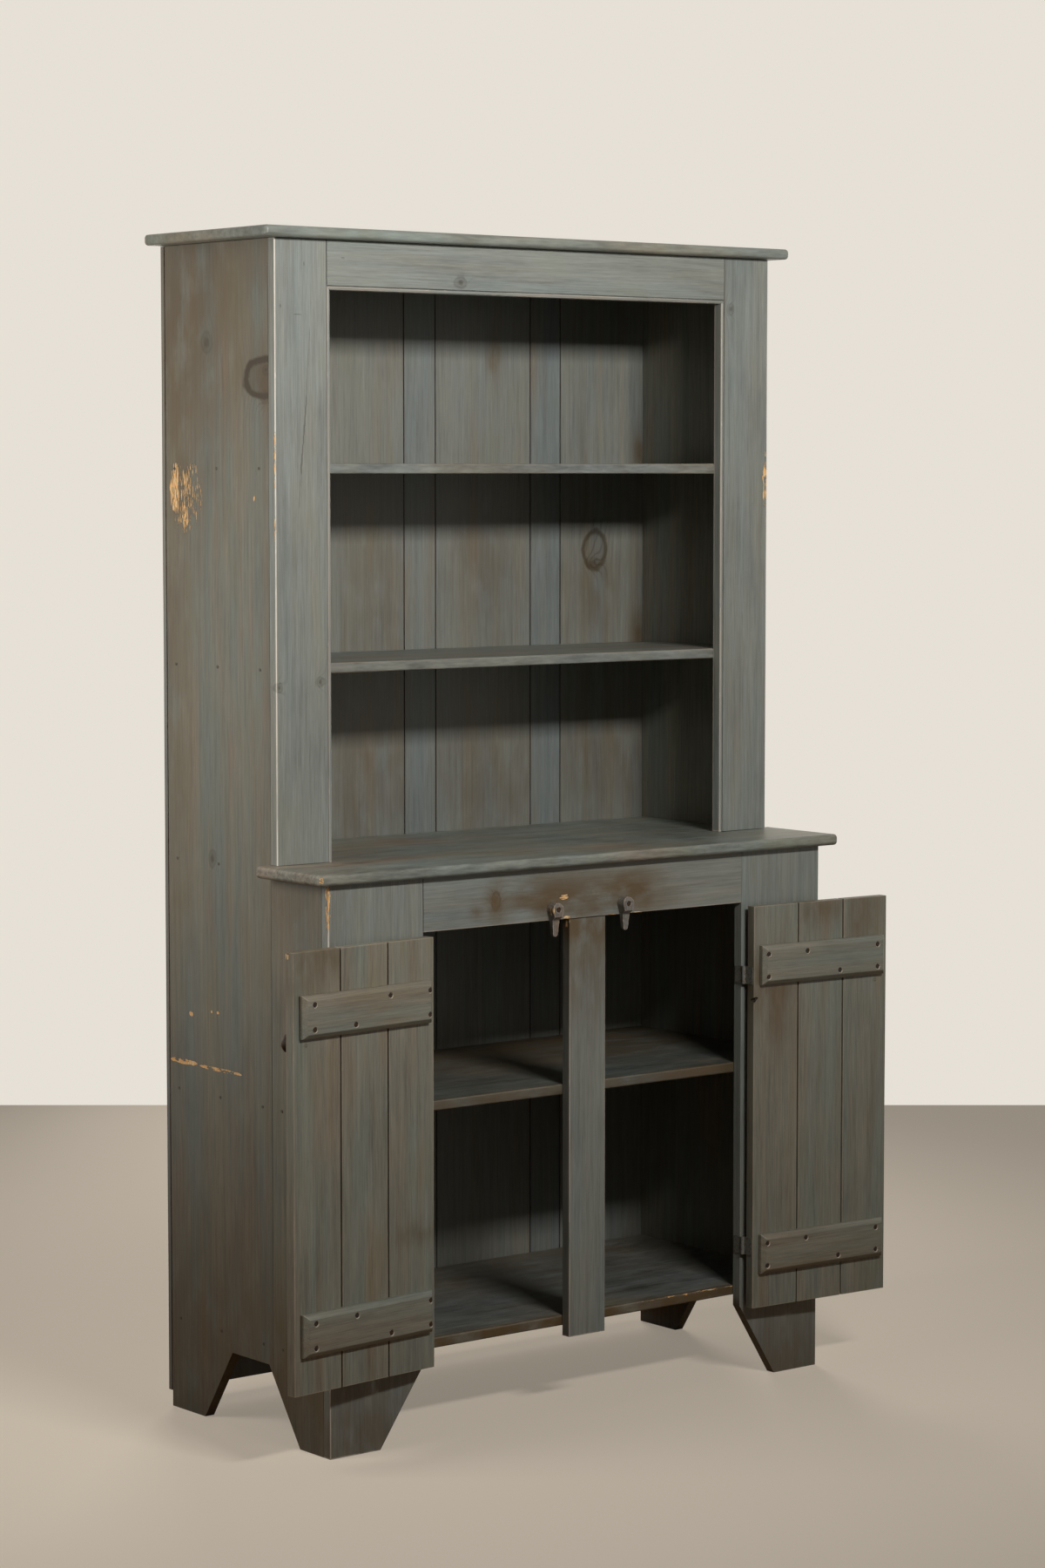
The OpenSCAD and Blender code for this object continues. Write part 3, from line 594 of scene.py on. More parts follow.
class PaintShop:
    """Mixes the finishes: the shared effects are node groups, and each material places them."""

    SKIN = {"Color": "Color", "Float": "Roughness Height"}
    # The relief of the brush marks and the grain, and of the iron's skin.
    WOOD_RELIEF = 0.00025
    IRON_RELIEF = 0.0002
    # The growth rings: their spacing, how far they wander, how a knot bends them, and how deep the heart lies.
    RING_SPACING = 0.0085
    RING_WOBBLE = 0.09
    KNOT_BEND = 0.022
    HEART_DEPTH = 0.045

    def __init__(self) -> None:
        """Builds the shared effects."""
        self.made: dict = {}
        self.arris = self._arris_group()
        self.paint = self._paint_group()
        self.oval = self._oval_group()
        self.speckle = self._speckle_group()

    def _arris_group(self) -> bpy.types.NodeTree:
        """Builds the group that gives how far a point is from the nearest arris of its board.

        Returns:
            The group.
        """
        wires, given, result = new_group("arris distance", {"Vector": "Board Half"}, {"Float": "Distance"})
        inset = wires.vector("SUBTRACT", given["Half"], wires.vector("ABSOLUTE", given["Board"]))
        first, second, third = wires.split(inset)
        low, high = wires.math("MINIMUM", first, second), wires.math("MAXIMUM", first, second)
        wires.fill(result, Distance=wires.math("MAXIMUM", low, wires.math("MINIMUM", high, third)))
        return wires.tree

    def _paint_group(self) -> bpy.types.NodeTree:
        """Builds the group for thin paint over pine, with streaks, fibres, growth rings, and worn arrises with a
        painted highlight.

        Returns:
            The group.
        """
        inputs = {
            "Vector": "Board", "Float": "Seed Bend Edge Streaks Contrast Wear Gloss",
            "Color": "Paint Cool Warm Stain Bare",
        }
        wires, given, result = new_group("paint on pine", inputs, self.SKIN)
        bend, edge = given["Bend"], given["Edge"]
        shift = wires.fill(wires.node("ShaderNodeCombineXYZ"), *(given["Seed"] * factor for factor in (7.3, 3.1, 5.7)))
        here = wires.vector("ADD", given["Board"], wires.out(shift))
        aside = wires.vector("ADD", here, (3.7, 1.9, 2.3))

        fibre = wires.noise(here, (14.0, 480.0, 480.0), 3.0)
        fine = wires.noise(here, (45.0, 1300.0, 1300.0), 2.0)
        streak = wires.noise(here, (2.6, 34.0, 34.0), 5.0)
        shade = wires.noise(aside, (3.4, 110.0, 110.0), 4.0)
        band = wires.noise(here, (1.9, 15.0, 15.0), 5.0)
        blotch = wires.noise(here, (4.0, 9.0, 9.0), 4.0)
        cloud = wires.noise(aside, (6.0, 13.0, 13.0), 5.0)
        wobble = wires.noise(here, (1.6, 5.0, 5.0), 2.0)
        ragged = wires.noise(here, (60.0, 240.0, 240.0), 3.0) - 0.5

        _, across, depth = wires.split(given["Board"])
        across = across + wobble * self.RING_WOBBLE + bend * self.KNOT_BEND
        depth = depth + self.HEART_DEPTH
        radius = wires.math("SQRT", across * across + depth * depth)
        phase = radius * (2 * math.pi / self.RING_SPACING) + streak * 2.5
        patchy = wires.step(blotch, 0.38, 0.62)
        ring = wires.step(wires.math("SINE", phase), 0.35, 1.0) * patchy * (bend + 0.35)

        cool = wires.step(band, 0.4, 0.62)
        warmth = wires.step(streak, 0.42, 0.72) * (patchy * 0.65 + 0.35)
        resin = wires.step(cloud, 0.48, 0.78) * 0.6
        colour = given["Paint"]
        for mask, name in ((cool, "Cool"), (warmth, "Warm"), (resin, "Stain")):
            colour = wires.blend(mask * given["Streaks"], colour, given[name])
        value = ring * -0.16
        for noise, amount in ((fibre, 0.5), (shade, 0.4), (cloud, 0.45), (fine, 0.3)):
            value = value + (noise - 0.5) * amount
        colour = wires.scale(colour, value * given["Contrast"] + 1.0)

        # The pale line along each arris is partly worn paint and partly a painted highlight of the light on the
        # rounded arris; the chips are worn paint.
        line = wires.step(edge, 0.003, 0.0008) * 0.9 * wires.step(blotch, 0.3, 0.5)
        chips = wires.step(edge + ragged * 0.008, 0.0007, -0.0003)
        for worn in (line, chips):
            colour = wires.blend(worn * given["Wear"], colour, given["Bare"])
        height = fibre * 0.6 + fine * 0.25 - ring * 0.35
        wires.fill(result, Color=colour, Roughness=given["Gloss"] + (fibre - 0.5) * 0.25, Height=height)
        return wires.tree

    def _oval_group(self) -> bpy.types.NodeTree:
        """Builds the group for masks round a point: a patch, its rim, its core, and a bell that fades slowly.

        Returns:
            The group.
        """
        inputs = {"Vector": "Point Centre Reach", "Float": "Ragged Scale"}
        wires, given, result = new_group("oval mark", inputs, {"Float": "Inside Rim Core Bell"})
        offset = wires.vector("DIVIDE", wires.vector("SUBTRACT", given["Point"], given["Centre"]), given["Reach"])
        noise = wires.noise(wires.scale(given["Point"], given["Scale"]), (1.0, 1.0, 1.0), 3.0)
        distance = wires.vector("LENGTH", offset) + (noise - 0.5) * given["Ragged"]
        wires.fill(
            result, Inside=wires.step(distance, 1.1, 0.7), Core=wires.step(distance, 0.55, 0.1),
            Rim=wires.step(distance, 0.64, 0.86) * wires.step(distance, 1.12, 0.95),
            Bell=wires.math("EXPONENT", distance * distance * -0.5),
        )
        return wires.tree

    def _speckle_group(self) -> bpy.types.NodeTree:
        """Builds the group that gives iron its uneven colour, with spots of a second colour and a fine grain.

        Returns:
            The group.
        """
        inputs = {"Vector": "Point", "Color": "Colour Spots", "Float": "Gloss"}
        wires, given, result = new_group("uneven iron", inputs, self.SKIN)
        coarse = wires.noise(given["Point"], (220.0,) * 3, 4.0)
        fine = wires.noise(given["Point"], (1400.0,) * 3, 2.0)
        colour = wires.blend(wires.step(coarse, 0.48, 0.62), given["Colour"], given["Spots"])
        rough = given["Gloss"] + (coarse - 0.5) * 0.4
        wires.fill(result, Color=colour, Roughness=rough, Height=coarse + fine * 0.3)
        return wires.tree

    def _shade(self, skin: bpy.types.Node, colour: Signal, height: Signal, relief: float, metallic: float) -> None:
        """Adds the shader and the output to a material.

        Args:
            skin: The node that gives the roughness.
            colour: The colour.
            height: The height of the skin, from about 0 to 1.
            relief: How much that is, in metres.
            metallic: Whether it shines as metal does, from 0 to 1.
        """
        wires = colour.wires
        bump = wires.fill(wires.node("ShaderNodeBump"), Strength=1.0, Distance=relief, Height=height)
        shader = wires.fill(
            wires.node("ShaderNodeBsdfPrincipled"), Base_Color=colour, Roughness=wires.out(skin, "Roughness"),
            Normal=wires.out(bump, "Normal"), Metallic=metallic,
        )
        wires.fill(wires.node("ShaderNodeOutputMaterial"), Surface=wires.out(shader, "BSDF"))

    def _mark(
        self, mark: Mark, spot: bpy.types.Node, board: Signal, colour: Signal, height: Signal
    ) -> tuple[Signal, Signal]:
        """Adds a mark to the colour and height of a finish.

        Args:
            mark: The mark.
            spot: The node that gives the mark's masks.
            board: The point in the board's own axes.
            colour: The colour so far.
            height: The height so far.

        Returns:
            The colour and the height with the mark.
        """
        wires, strength = board.wires, mark.strength
        inside, rim, core, bell = (wires.out(spot, name) for name in ("Inside", "Rim", "Core", "Bell"))
        if mark.kind is KNOT:
            return wires.blend((inside * 0.3 + rim * 0.15 + core * 0.5) * strength, colour, KNOT_BROWN), height
        if mark.kind is RING:
            return wires.blend((inside * 0.25 + rim * 0.75) * strength, colour, KNOT_BROWN), height
        if mark.kind is STAIN:
            cloud = wires.step(wires.noise(board, (12.0, 26.0, 26.0), 4.0), 0.2, 0.6)
            return wires.blend(bell * strength * cloud, colour, OIL_BROWN), height
        if mark.kind is DENT:
            return wires.blend(inside * 0.6 * strength, colour, BARE_RIM), height - inside * (3.0 * strength)
        if mark.kind is SCRATCH:
            loss = wires.noise(board, (160.0, 60.0, 60.0), 3.0) + inside * 0.56
            gone = wires.step(loss, 0.97, 1.03)
        else:
            loss = wires.noise(board, (55.0, 420.0, 420.0), 3.0) + (bell * 0.32 + inside * 0.21) * strength
            gone = wires.step(loss, 0.98, 1.02)
            colour = wires.blend(wires.step(loss, 0.88, 0.98) * 0.5 * bell, colour, BARE_RIM)
        pale = wires.step(wires.noise(board, (90.0, 600.0, 600.0), 2.0), 0.52, 0.62)
        return wires.blend(gone, colour, wires.blend(pale, BARE_PINE, BARE_PALE)), height - gone * 2.0

    def wood(self, finish: Finish, marks: tuple[Mark, ...] = ()) -> bpy.types.Material:
        """Gives the material of a painted board.

        Args:
            finish: The paint.
            marks: What shows on this board alone.

        Returns:
            The material, which boards with the same finish and marks share.
        """
        key = (finish, marks)
        if key in self.made:
            return self.made[key]
        self.made[key] = material = bpy.data.materials.new(finish.name)
        wires = rewire(material)
        board, half, seed = (
            wires.out(wires.node("ShaderNodeAttribute", attribute_name=name), output)
            for name, output in (("board", "Vector"), ("half", "Vector"), ("seed", "Fac"))
        )
        point = wires.out(wires.node("ShaderNodeTexCoord"), "Object")
        spots = [
            wires.group(
                self.oval, Point=point, Centre=mark.centre, Reach=mark.reach,
                Ragged=0.45 if mark.kind is RING else 0.7, Scale=0.9 / sorted(mark.reach)[1],
            )
            for mark in marks
        ]
        bend = sum(wires.out(spot, "Bell") for mark, spot in zip(marks, spots) if mark.kind in (KNOT, RING))
        # On carved pieces the ridges take the arris wear and its pale line, which is partly painted highlight.
        if finish.carved:
            edge = (wires.out(wires.node("ShaderNodeNewGeometry"), "Pointiness") - 0.56) * -0.05
        else:
            edge = wires.out(wires.group(self.arris, Board=board, Half=half))
        coat = wires.group(
            self.paint, Board=wires.vector("MULTIPLY", board, (1.0, finish.coarse, finish.coarse)),
            Seed=seed, Bend=bend, Edge=edge,
            Paint=finish.paint, Cool=finish.cool, Warm=finish.warm, Stain=finish.stain, Bare=finish.bare,
            Streaks=finish.streaks, Contrast=finish.contrast, Wear=finish.wear, Gloss=finish.roughness,
        )
        colour, height = wires.out(coat, "Color"), wires.out(coat, "Height")
        for mark, spot in zip(marks, spots):
            colour, height = self._mark(mark, spot, board, colour, height)
        self._shade(coat, colour, height, self.WOOD_RELIEF, metallic=0.0)
        return material

    def iron(self, finish: Iron) -> bpy.types.Material:
        """Gives the material of an iron fitting.

        Args:
            finish: The finish of the iron.

        Returns:
            The material, which fittings with the same finish share.
        """
        if finish in self.made:
            return self.made[finish]
        self.made[finish] = material = bpy.data.materials.new(finish.name)
        wires = rewire(material)
        skin = wires.group(
            self.speckle, Point=wires.out(wires.node("ShaderNodeTexCoord"), "Object"),
            Colour=finish.colour, Spots=finish.spots, Gloss=finish.roughness,
        )
        self._shade(skin, wires.out(skin, "Color"), wires.out(skin, "Height"), self.IRON_RELIEF, finish.metallic)
        return material


@dataclass(frozen=True)
class Arris:
    """An edge of a board, told by the two faces that meet there, with the radius it is rounded to."""

    first: Face
    second: Face
    radius: float
    segments: int


def rounds(radius: float, firsts: tuple[Face, ...], seconds: tuple[Face, ...], segments: int = 4) -> tuple[Arris, ...]:
    """Lists the arrises where each of the first faces meets each of the second ones, all with one radius."""
    return tuple(Arris(first, second, radius, segments) for first in firsts for second in seconds)


class Bench:
    """The joiner's bench: the steps of modelling that the pieces share."""

    @staticmethod
    def take(piece: bpy.types.Object) -> None:
        """Selects one piece alone.

        Args:
            piece: The piece.
        """
        bpy.ops.object.select_all(action="DESELECT")
        piece.select_set(True)
        bpy.context.view_layer.objects.active = piece

    @staticmethod
    @contextmanager
    def editing(piece: bpy.types.Object) -> Iterator[None]:
        """Holds a piece in edit mode.

        Args:
            piece: The piece.

        Yields:
            Nothing, once the piece is in edit mode.
        """
        Bench.take(piece)
        bpy.ops.object.mode_set(mode="EDIT")
        yield
        bpy.ops.object.mode_set(mode="OBJECT")

    @staticmethod
    def start(add: Callable, name: str, scale: Point | Vector = (1, 1, 1), **settings: object) -> bpy.types.Object:
        """Adds a primitive as the start of a piece.

        Args:
            add: The operator that adds it.
            name: The name of the piece.
            scale: Its scale.
            **settings: The operator's own settings.

        Returns:
            The piece, with its place, turn and scale in its mesh.
        """
        bpy.ops.object.select_all(action="DESELECT")
        add(**settings)
        piece = bpy.context.active_object
        piece.name = name
        piece.scale = scale
        bpy.ops.object.transform_apply(location=True, rotation=True, scale=True)
        return piece

    @staticmethod
    def block(name: str, low: Vector, high: Vector) -> bpy.types.Object:
        """Cuts a squared block from its lowest to its highest corner."""
        return Bench.start(bpy.ops.mesh.primitive_cube_add, name, high - low, size=1, location=(low + high) / 2)

    @staticmethod
    def slice(piece: bpy.types.Object, cuts: list[Cut], drop: bool) -> None:
        """Saws a piece along planes.

        Args:
            piece: The piece.
            cuts: A point on each plane and the direction that the plane faces.
            drop: Whether what lies beyond each plane falls away, or the cut only adds edges.
        """
        with Bench.editing(piece):
            for point, normal in cuts:
                bpy.ops.mesh.select_all(action="SELECT")
                bpy.ops.mesh.bisect(plane_co=point, plane_no=normal, use_fill=drop, clear_outer=drop)

    @staticmethod
    def score(piece: bpy.types.Object, low: Vector, high: Vector, spacing: float) -> None:
        """Adds edges across a piece, evenly along each axis.

        Args:
            piece: The piece.
            low: Its lowest corner.
            high: Its highest corner.
            spacing: The distance that the edges stay under.
        """
        cuts = []
        for axis in range(3):
            length = high[axis] - low[axis]
            count = int(length / spacing)
            normal = Vector([float(axis == other) for other in range(3)])
            cuts += [(low + normal * (length * step / (count + 1)), normal) for step in range(1, count + 1)]
        Bench.slice(piece, cuts, drop=False)

    @staticmethod
    def round_off(piece: bpy.types.Object, low: Vector, high: Vector, arrises: tuple[Arris, ...]) -> None:
        """Rounds the chosen arrises of a block, those of one radius together.

        Args:
            piece: The piece.
            low: The lowest corner of the block.
            high: The highest corner of the block.
            arrises: The arrises, each with its radius.
        """
        ends, mesh, near = (low, high), piece.data, 1e-5
        bpy.context.tool_settings.mesh_select_mode = (False, True, False)
        for radius, segments in sorted({(arris.radius, arris.segments) for arris in arrises}):
            chosen = [arris for arris in arrises if (arris.radius, arris.segments) == (radius, segments)]
            with Bench.editing(piece):
                bpy.ops.mesh.select_all(action="DESELECT")
            for edge in mesh.edges:
                middle = (mesh.vertices[edge.vertices[0]].co + mesh.vertices[edge.vertices[1]].co) / 2
                edge.select = any(
                    all(abs(middle[axis] - ends[at_high][axis]) < near
                        for axis, at_high in (arris.first.value, arris.second.value))
                    for arris in chosen
                )
            with Bench.editing(piece):
                bpy.ops.mesh.bevel(offset=radius, segments=segments, affect="EDGES")

    @staticmethod
    def modify(piece: bpy.types.Object, kind: str, **settings: object) -> None:
        """Changes a piece with a modifier, which is applied.

        Args:
            piece: The piece.
            kind: The kind of modifier.
            **settings: The modifier's own settings.
        """
        Bench.take(piece)
        modifier = piece.modifiers.new(kind.lower(), kind)
        for name, value in settings.items():
            setattr(modifier, name, value)
        bpy.ops.object.modifier_apply(modifier=modifier.name)

    @staticmethod
    def carve(piece: bpy.types.Object, cutter: bpy.types.Object) -> None:
        """Takes the shape of a cutter out of a piece, and removes the cutter.

        Args:
            piece: The piece.
            cutter: The cutter, whose material the cut keeps where it has one.
        """
        kept = "TRANSFER" if cutter.data.materials else "INDEX"
        Bench.modify(
            piece, "BOOLEAN", operation="DIFFERENCE", solver="EXACT", object=cutter, material_mode=kept, use_self=True
        )
        if not piece.data.polygons:
            raise ValueError(f"nothing is left of {piece.name}")
        bpy.data.objects.remove(cutter)

    @staticmethod
    def ease(piece: bpy.types.Object, width: float, angle: float = FLAT_ANGLE) -> None:
        """Takes the sharpness off every arris that is sharper than the angle."""
        Bench.modify(piece, "BEVEL", width=width, segments=2, limit_method="ANGLE", angle_limit=angle)

    @staticmethod
    def wave(piece: bpy.types.Object, depth: float, size: float) -> None:
        """Makes the faces slightly uneven, as planing by hand leaves them, and never adds to a piece.

        Args:
            piece: The piece.
            depth: The depth of the hollows.
            size: The length of the waves.
        """
        clouds = bpy.data.textures.get(f"clouds {size}") or bpy.data.textures.new(f"clouds {size}", "CLOUDS")
        clouds.noise_scale = size
        Bench.modify(piece, "DISPLACE", texture=clouds, strength=depth, mid_level=1.0)

    @staticmethod
    def smooth(piece: bpy.types.Object) -> None:
        """Shades a piece smooth, with its flat faces kept flat.

        Args:
            piece: The piece.
        """
        Bench.take(piece)
        bpy.ops.object.shade_smooth_by_angle(angle=FLAT_ANGLE)
        Bench.modify(piece, "WEIGHTED_NORMAL", keep_sharp=True, weight=50)

    @staticmethod
    def copy_of(node: str, name: str) -> bpy.types.Object:
        """Copies a node of the frame as a new piece, with its corners merged.

        Args:
            node: The node's name.
            name: The name of the piece.

        Returns:
            The piece.
        """
        piece = bpy.data.objects.new(name, frame["nodes"][node].data.copy())
        bpy.context.scene.collection.objects.link(piece)
        piece.data.materials.clear()
        with Bench.editing(piece):
            bpy.ops.mesh.select_all(action="SELECT")
            bpy.ops.mesh.remove_doubles(threshold=1e-6)
        return piece

    @staticmethod
    def settle(piece: bpy.types.Object, place: Matrix) -> None:
        """Moves a finished piece to its place and keeps the place in its mesh.

        Args:
            piece: The piece.
            place: Its place in the frame.
        """
        Bench.take(piece)
        piece.matrix_world = place
        bpy.ops.object.transform_apply(location=True, rotation=True, scale=True)


def local_box(node: str, place: Matrix) -> tuple[Vector, Vector]:
    """Measures a node of the frame in the axes of the assembly that holds it.

    Args:
        node: The node's name.
        place: The assembly's place in the frame.

    Returns:
        The lowest and the highest corner.
    """
    back = place.inverted()
    points = [back @ vertex.co for vertex in frame["nodes"][node].data.vertices]
    low, high = (Vector([end(point[axis] for point in points) for axis in range(3)]) for end in (min, max))
    return low, high


def saw_cut(point: Point, way: Point) -> Cut:
    """Describes a saw cut by a point on it and the way that it faces, towards what falls away."""
    return Vector(point), Vector(way).normalized()


def groove(face: Face, width: float, depth: float, past: float, low: Vector, high: Vector) -> bpy.types.Object:
    """Gives the cutter for a groove in the front of a board, open at one of its edges.

    Args:
        face: The face of the board where that edge lies.
        width: How far the groove reaches from the face.
        depth: How deep it goes.
        past: How far the cutter reaches past the face.
        low: The lowest corner of the board.
        high: The highest corner of the board.

    Returns:
        The cutter.
    """
    start, end = low - MARGIN, high + MARGIN
    axis, at_high = face.value
    end.y = low.y + depth
    if at_high:
        start[axis], end[axis] = high[axis] - width, high[axis] + past
    else:
        start[axis], end[axis] = low[axis] - past, low[axis] + width
    return Bench.block("groove", start, end)


@dataclass
class Board:
    """One board: its node, its grain, its paint, what is cut from it, and the faces where its arrises don't wear."""

    node: str
    grain: Grain
    finish: Finish
    arrises: tuple[Arris, ...] = ()
    ease: float = 0.0006
    widen: float = 0.0
    waves: float = 0.0008
    cutters: tuple[Cutter, ...] = ()
    trims: tuple[Cut, ...] = ()
    holes: tuple[Cutter, ...] = ()
    hole_finish: Finish | None = None
    sheltered: tuple[Face, ...] = ()
    place: Matrix = field(default_factory=lambda: Matrix.Identity(4))
    body: str = "case"

    SPACING = 0.05
    WAVE_LENGTH = 0.22

    def skin(self, shop: PaintShop) -> bpy.types.Material:
        """Gives the board's own material."""
        return shop.wood(self.finish, MARKS.get(self.node, ()))

    def build(self, shop: PaintShop) -> bpy.types.Object:
        """Makes the board, paints it and puts it in its place.

        Args:
            shop: Where the paint comes from.

        Returns:
            The finished piece.
        """
        low, high = local_box(self.node, self.place)
        wider = Vector((self.widen, 0, 0))
        low, high = low - wider, high + wider
        piece = Bench.block(f"{self.node}_wood", low, high)
        for cutter in self.cutters:
            Bench.carve(piece, cutter(low, high))
        if self.trims:
            Bench.slice(piece, list(self.trims), drop=True)
        if self.arrises:
            Bench.round_off(piece, low, high, self.arrises)
        Bench.ease(piece, self.ease)
        Bench.score(piece, low, high, self.SPACING)
        Bench.wave(piece, self.waves, self.WAVE_LENGTH)
        piece.data.materials.append(self.skin(shop))
        for hole in self.holes:
            cutter = hole(low, high)
            if self.hole_finish:
                cutter.data.materials.clear()
                cutter.data.materials.append(shop.wood(self.hole_finish))
            Bench.carve(piece, cutter)
        Bench.smooth(piece)
        return self.dress(piece, low, high, shop)

    def dress(self, piece: bpy.types.Object, low: Vector, high: Vector, shop: PaintShop) -> bpy.types.Object:
        """Paints a piece of wood along its grain and joins it to its body.

        The piece gets three attributes: the point in the board's own axes, half the board's size, and a
        number of its own that keeps its grain unlike its neighbours'.

        Args:
            piece: The shaped piece, in the axes of its assembly.
            low: Its lowest corner.
            high: Its highest corner.
            shop: Where the paint comes from.

        Returns:
            The piece, painted and in place.
        """
        mesh = piece.data
        low, high = low.copy(), high.copy()
        for face in self.sheltered:
            axis, at_high = face.value
            (high if at_high else low)[axis] += SHELTER if at_high else -SHELTER
        middle, half = (low + high) / 2, (high - low) / 2
        order = self.grain.value
        seed = sum((index + 1) * ord(letter) for index, letter in enumerate(self.node)) % 97 / 10
        points, sizes = [], []
        for vertex in mesh.vertices:
            offset = vertex.co - middle
            points.extend(offset[axis] for axis in order)
            sizes.extend(half[axis] for axis in order)
        mesh.attributes.new("board", "FLOAT_VECTOR", "POINT").data.foreach_set("vector", points)
        mesh.attributes.new("half", "FLOAT_VECTOR", "POINT").data.foreach_set("vector", sizes)
        mesh.attributes.new("seed", "FLOAT", "POINT").data.foreach_set("value", [seed] * len(mesh.vertices))
        if not mesh.materials:
            mesh.materials.append(self.skin(shop))
        Bench.settle(piece, self.place)
        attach(piece, self.body)
        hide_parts(self.node)
        return piece


class Assembly:
    """A part of the cupboard that is built on its own."""

    def boards(self) -> Iterator[Board]:
        """Lists the boards. Here there are none."""
        yield from ()

    def build(self, shop: PaintShop) -> Iterator[bpy.types.Object]:
        """Builds the boards one by one."""
        yield from (board.build(shop) for board in self.boards())


@dataclass
class Case(Assembly):
    """The carcase: sides with bootjack feet, top, counter, shelves and back."""

    jack_floor: tuple[float, float] = (0.086, 0.366)
    jack_top: tuple[float, float] = (0.174, 0.282)
    jack_height: float = 0.1255
    ear_reach: float = 0.2
    rear_arris: float = 0.002
    round_edge: float = 0.0069
    shelf_edge: float = 0.0035
    shelf_waves: float = 0.0016
    seam_width: float = 0.0016
    seam_depth: float = 0.005
    back_boards: int = 7
    nail_head: float = 0.0003
    nail_ease: float = 0.0005
    nail_angle: float = 50.0

    def bootjack(self, low: Vector, high: Vector) -> bpy.types.Object:
        """Gives the wedge that is sawn out of the foot of a side.

        Args:
            low: The lowest corner of the board.
            high: The highest corner of the board.

        Returns:
            The cutter.
        """
        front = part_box("lower_stile_left")[0].y
        floor = [front + place for place in self.jack_floor]
        top = [front + place for place in self.jack_top]
        start, end = low - MARGIN, high + MARGIN
        start.y, end.y, start.z, end.z = *floor, -0.001, self.jack_height
        wedge = Bench.block("bootjack", start, end)
        cuts = [
            saw_cut((0, bottom, 0), (0, way * self.jack_height, way * (bottom - upper)))
            for bottom, upper, way in zip(floor, top, (-1, 1))
        ]
        Bench.slice(wedge, cuts, drop=True)
        return wedge

    @staticmethod
    def ear_gap(side: str, low: Vector, high: Vector) -> bpy.types.Object:
        """Gives the cutter for what the counter leaves free behind an ear, outside the side board's inner face.

        Args:
            side: The side of the ear.
            low: The lowest corner of the counter.
            high: The highest corner of the counter.

        Returns:
            The cutter.
        """
        start, end = low - MARGIN, high + MARGIN
        side_low, side_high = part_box(f"side_board_{side}")
        start.y = side_low.y
        if side == "left":
            start.x, end.x = side_high.x - Case.ear_reach, side_high.x
        else:
            start.x, end.x = side_low.x, side_low.x + Case.ear_reach
        return Bench.block("ear gap", start, end)

    def boards(self) -> Iterator[Board]:
        """Lists the boards of the carcase.

        Yields:
            The boards.
        """
        for side, outer in (("left", LEFT), ("right", RIGHT)):
            board = Board(
                f"side_board_{side}", Grain.SIDEWAYS, SIDE_PAINT, cutters=(self.bootjack,),
                arrises=rounds(self.rear_arris, (outer,), (BACK,)), sheltered=(FRONT, TOP, BACK),
            )
            yield board
            yield replace(board, node=f"side_front_{side}", arrises=())
        edges = rounds(self.round_edge, (LEFT, RIGHT, FRONT), (TOP, UNDER), 6)
        edges += rounds(self.round_edge, (LEFT, RIGHT), (FRONT,), 6)
        yield Board("top_board", Grain.FLAT, TOP_PAINT, arrises=edges)
        yield Board(
            "counter_board", Grain.FLAT, COUNTER_PAINT, arrises=edges, sheltered=(BACK,),
            cutters=(partial(self.ear_gap, "left"), partial(self.ear_gap, "right")),
        )
        for shelf in ("top", "middle", "lower", "bottom"):
            yield Board(
                f"shelf_{shelf}", Grain.FLAT, SHADED_SHELF_PAINT if shelf == "lower" else SHELF_PAINT,
                arrises=rounds(self.shelf_edge, (FRONT,), (TOP, UNDER)), waves=self.shelf_waves,
                sheltered=(LEFT, RIGHT, BACK),
            )
        gap = (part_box("back_board_2")[0].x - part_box("back_board_1")[1].x) / 2
        for number in range(1, self.back_boards + 1):
            seams = [face for face, last in ((LEFT, 1), (RIGHT, self.back_boards)) if number != last]
            half = self.seam_width / 2
            yield Board(
                f"back_board_{number}", Grain.UPRIGHT, INSIDE_PAINT if number % 2 else NARROW_PAINT,
                widen=gap, ease=0.0004, sheltered=(TOP, UNDER),
                cutters=tuple(partial(groove, face, half, self.seam_depth, half) for face in seams),
            )

    def nails(self, node: str, reach: float, finish: Iron, shop: PaintShop) -> bpy.types.Object:
        """Makes the nails of one group, with domed heads.

        Args:
            node: The node of the group.
            reach: How far the heads stand out of the wood, along X.
            finish: The nails' finish.
            shop: Where the finish comes from.

        Returns:
            The piece.
        """
        piece = Bench.copy_of(node, f"{node}_iron")
        Bench.ease(piece, self.nail_ease, math.radians(self.nail_angle))
        Bench.settle(piece, Matrix.Translation((reach, 0, 0)))
        Bench.smooth(piece)
        piece.data.materials.append(shop.iron(finish))
        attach(piece, "case")
        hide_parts(node)
        return piece

    def build(self, shop: PaintShop) -> Iterator[bpy.types.Object]:
        """Builds the boards, and dresses the nails that hold them.

        Args:
            shop: Where the finishes come from.

        Yields:
            The finished pieces.
        """
        yield from super().build(shop)
        yield self.nails("side_nails_left", -self.nail_head, PAINTED_NAIL, shop)
        yield self.nails("side_nails_right", self.nail_head, PAINTED_NAIL, shop)
        yield self.nails("back_nails", 0.0, OLD_IRON, shop)


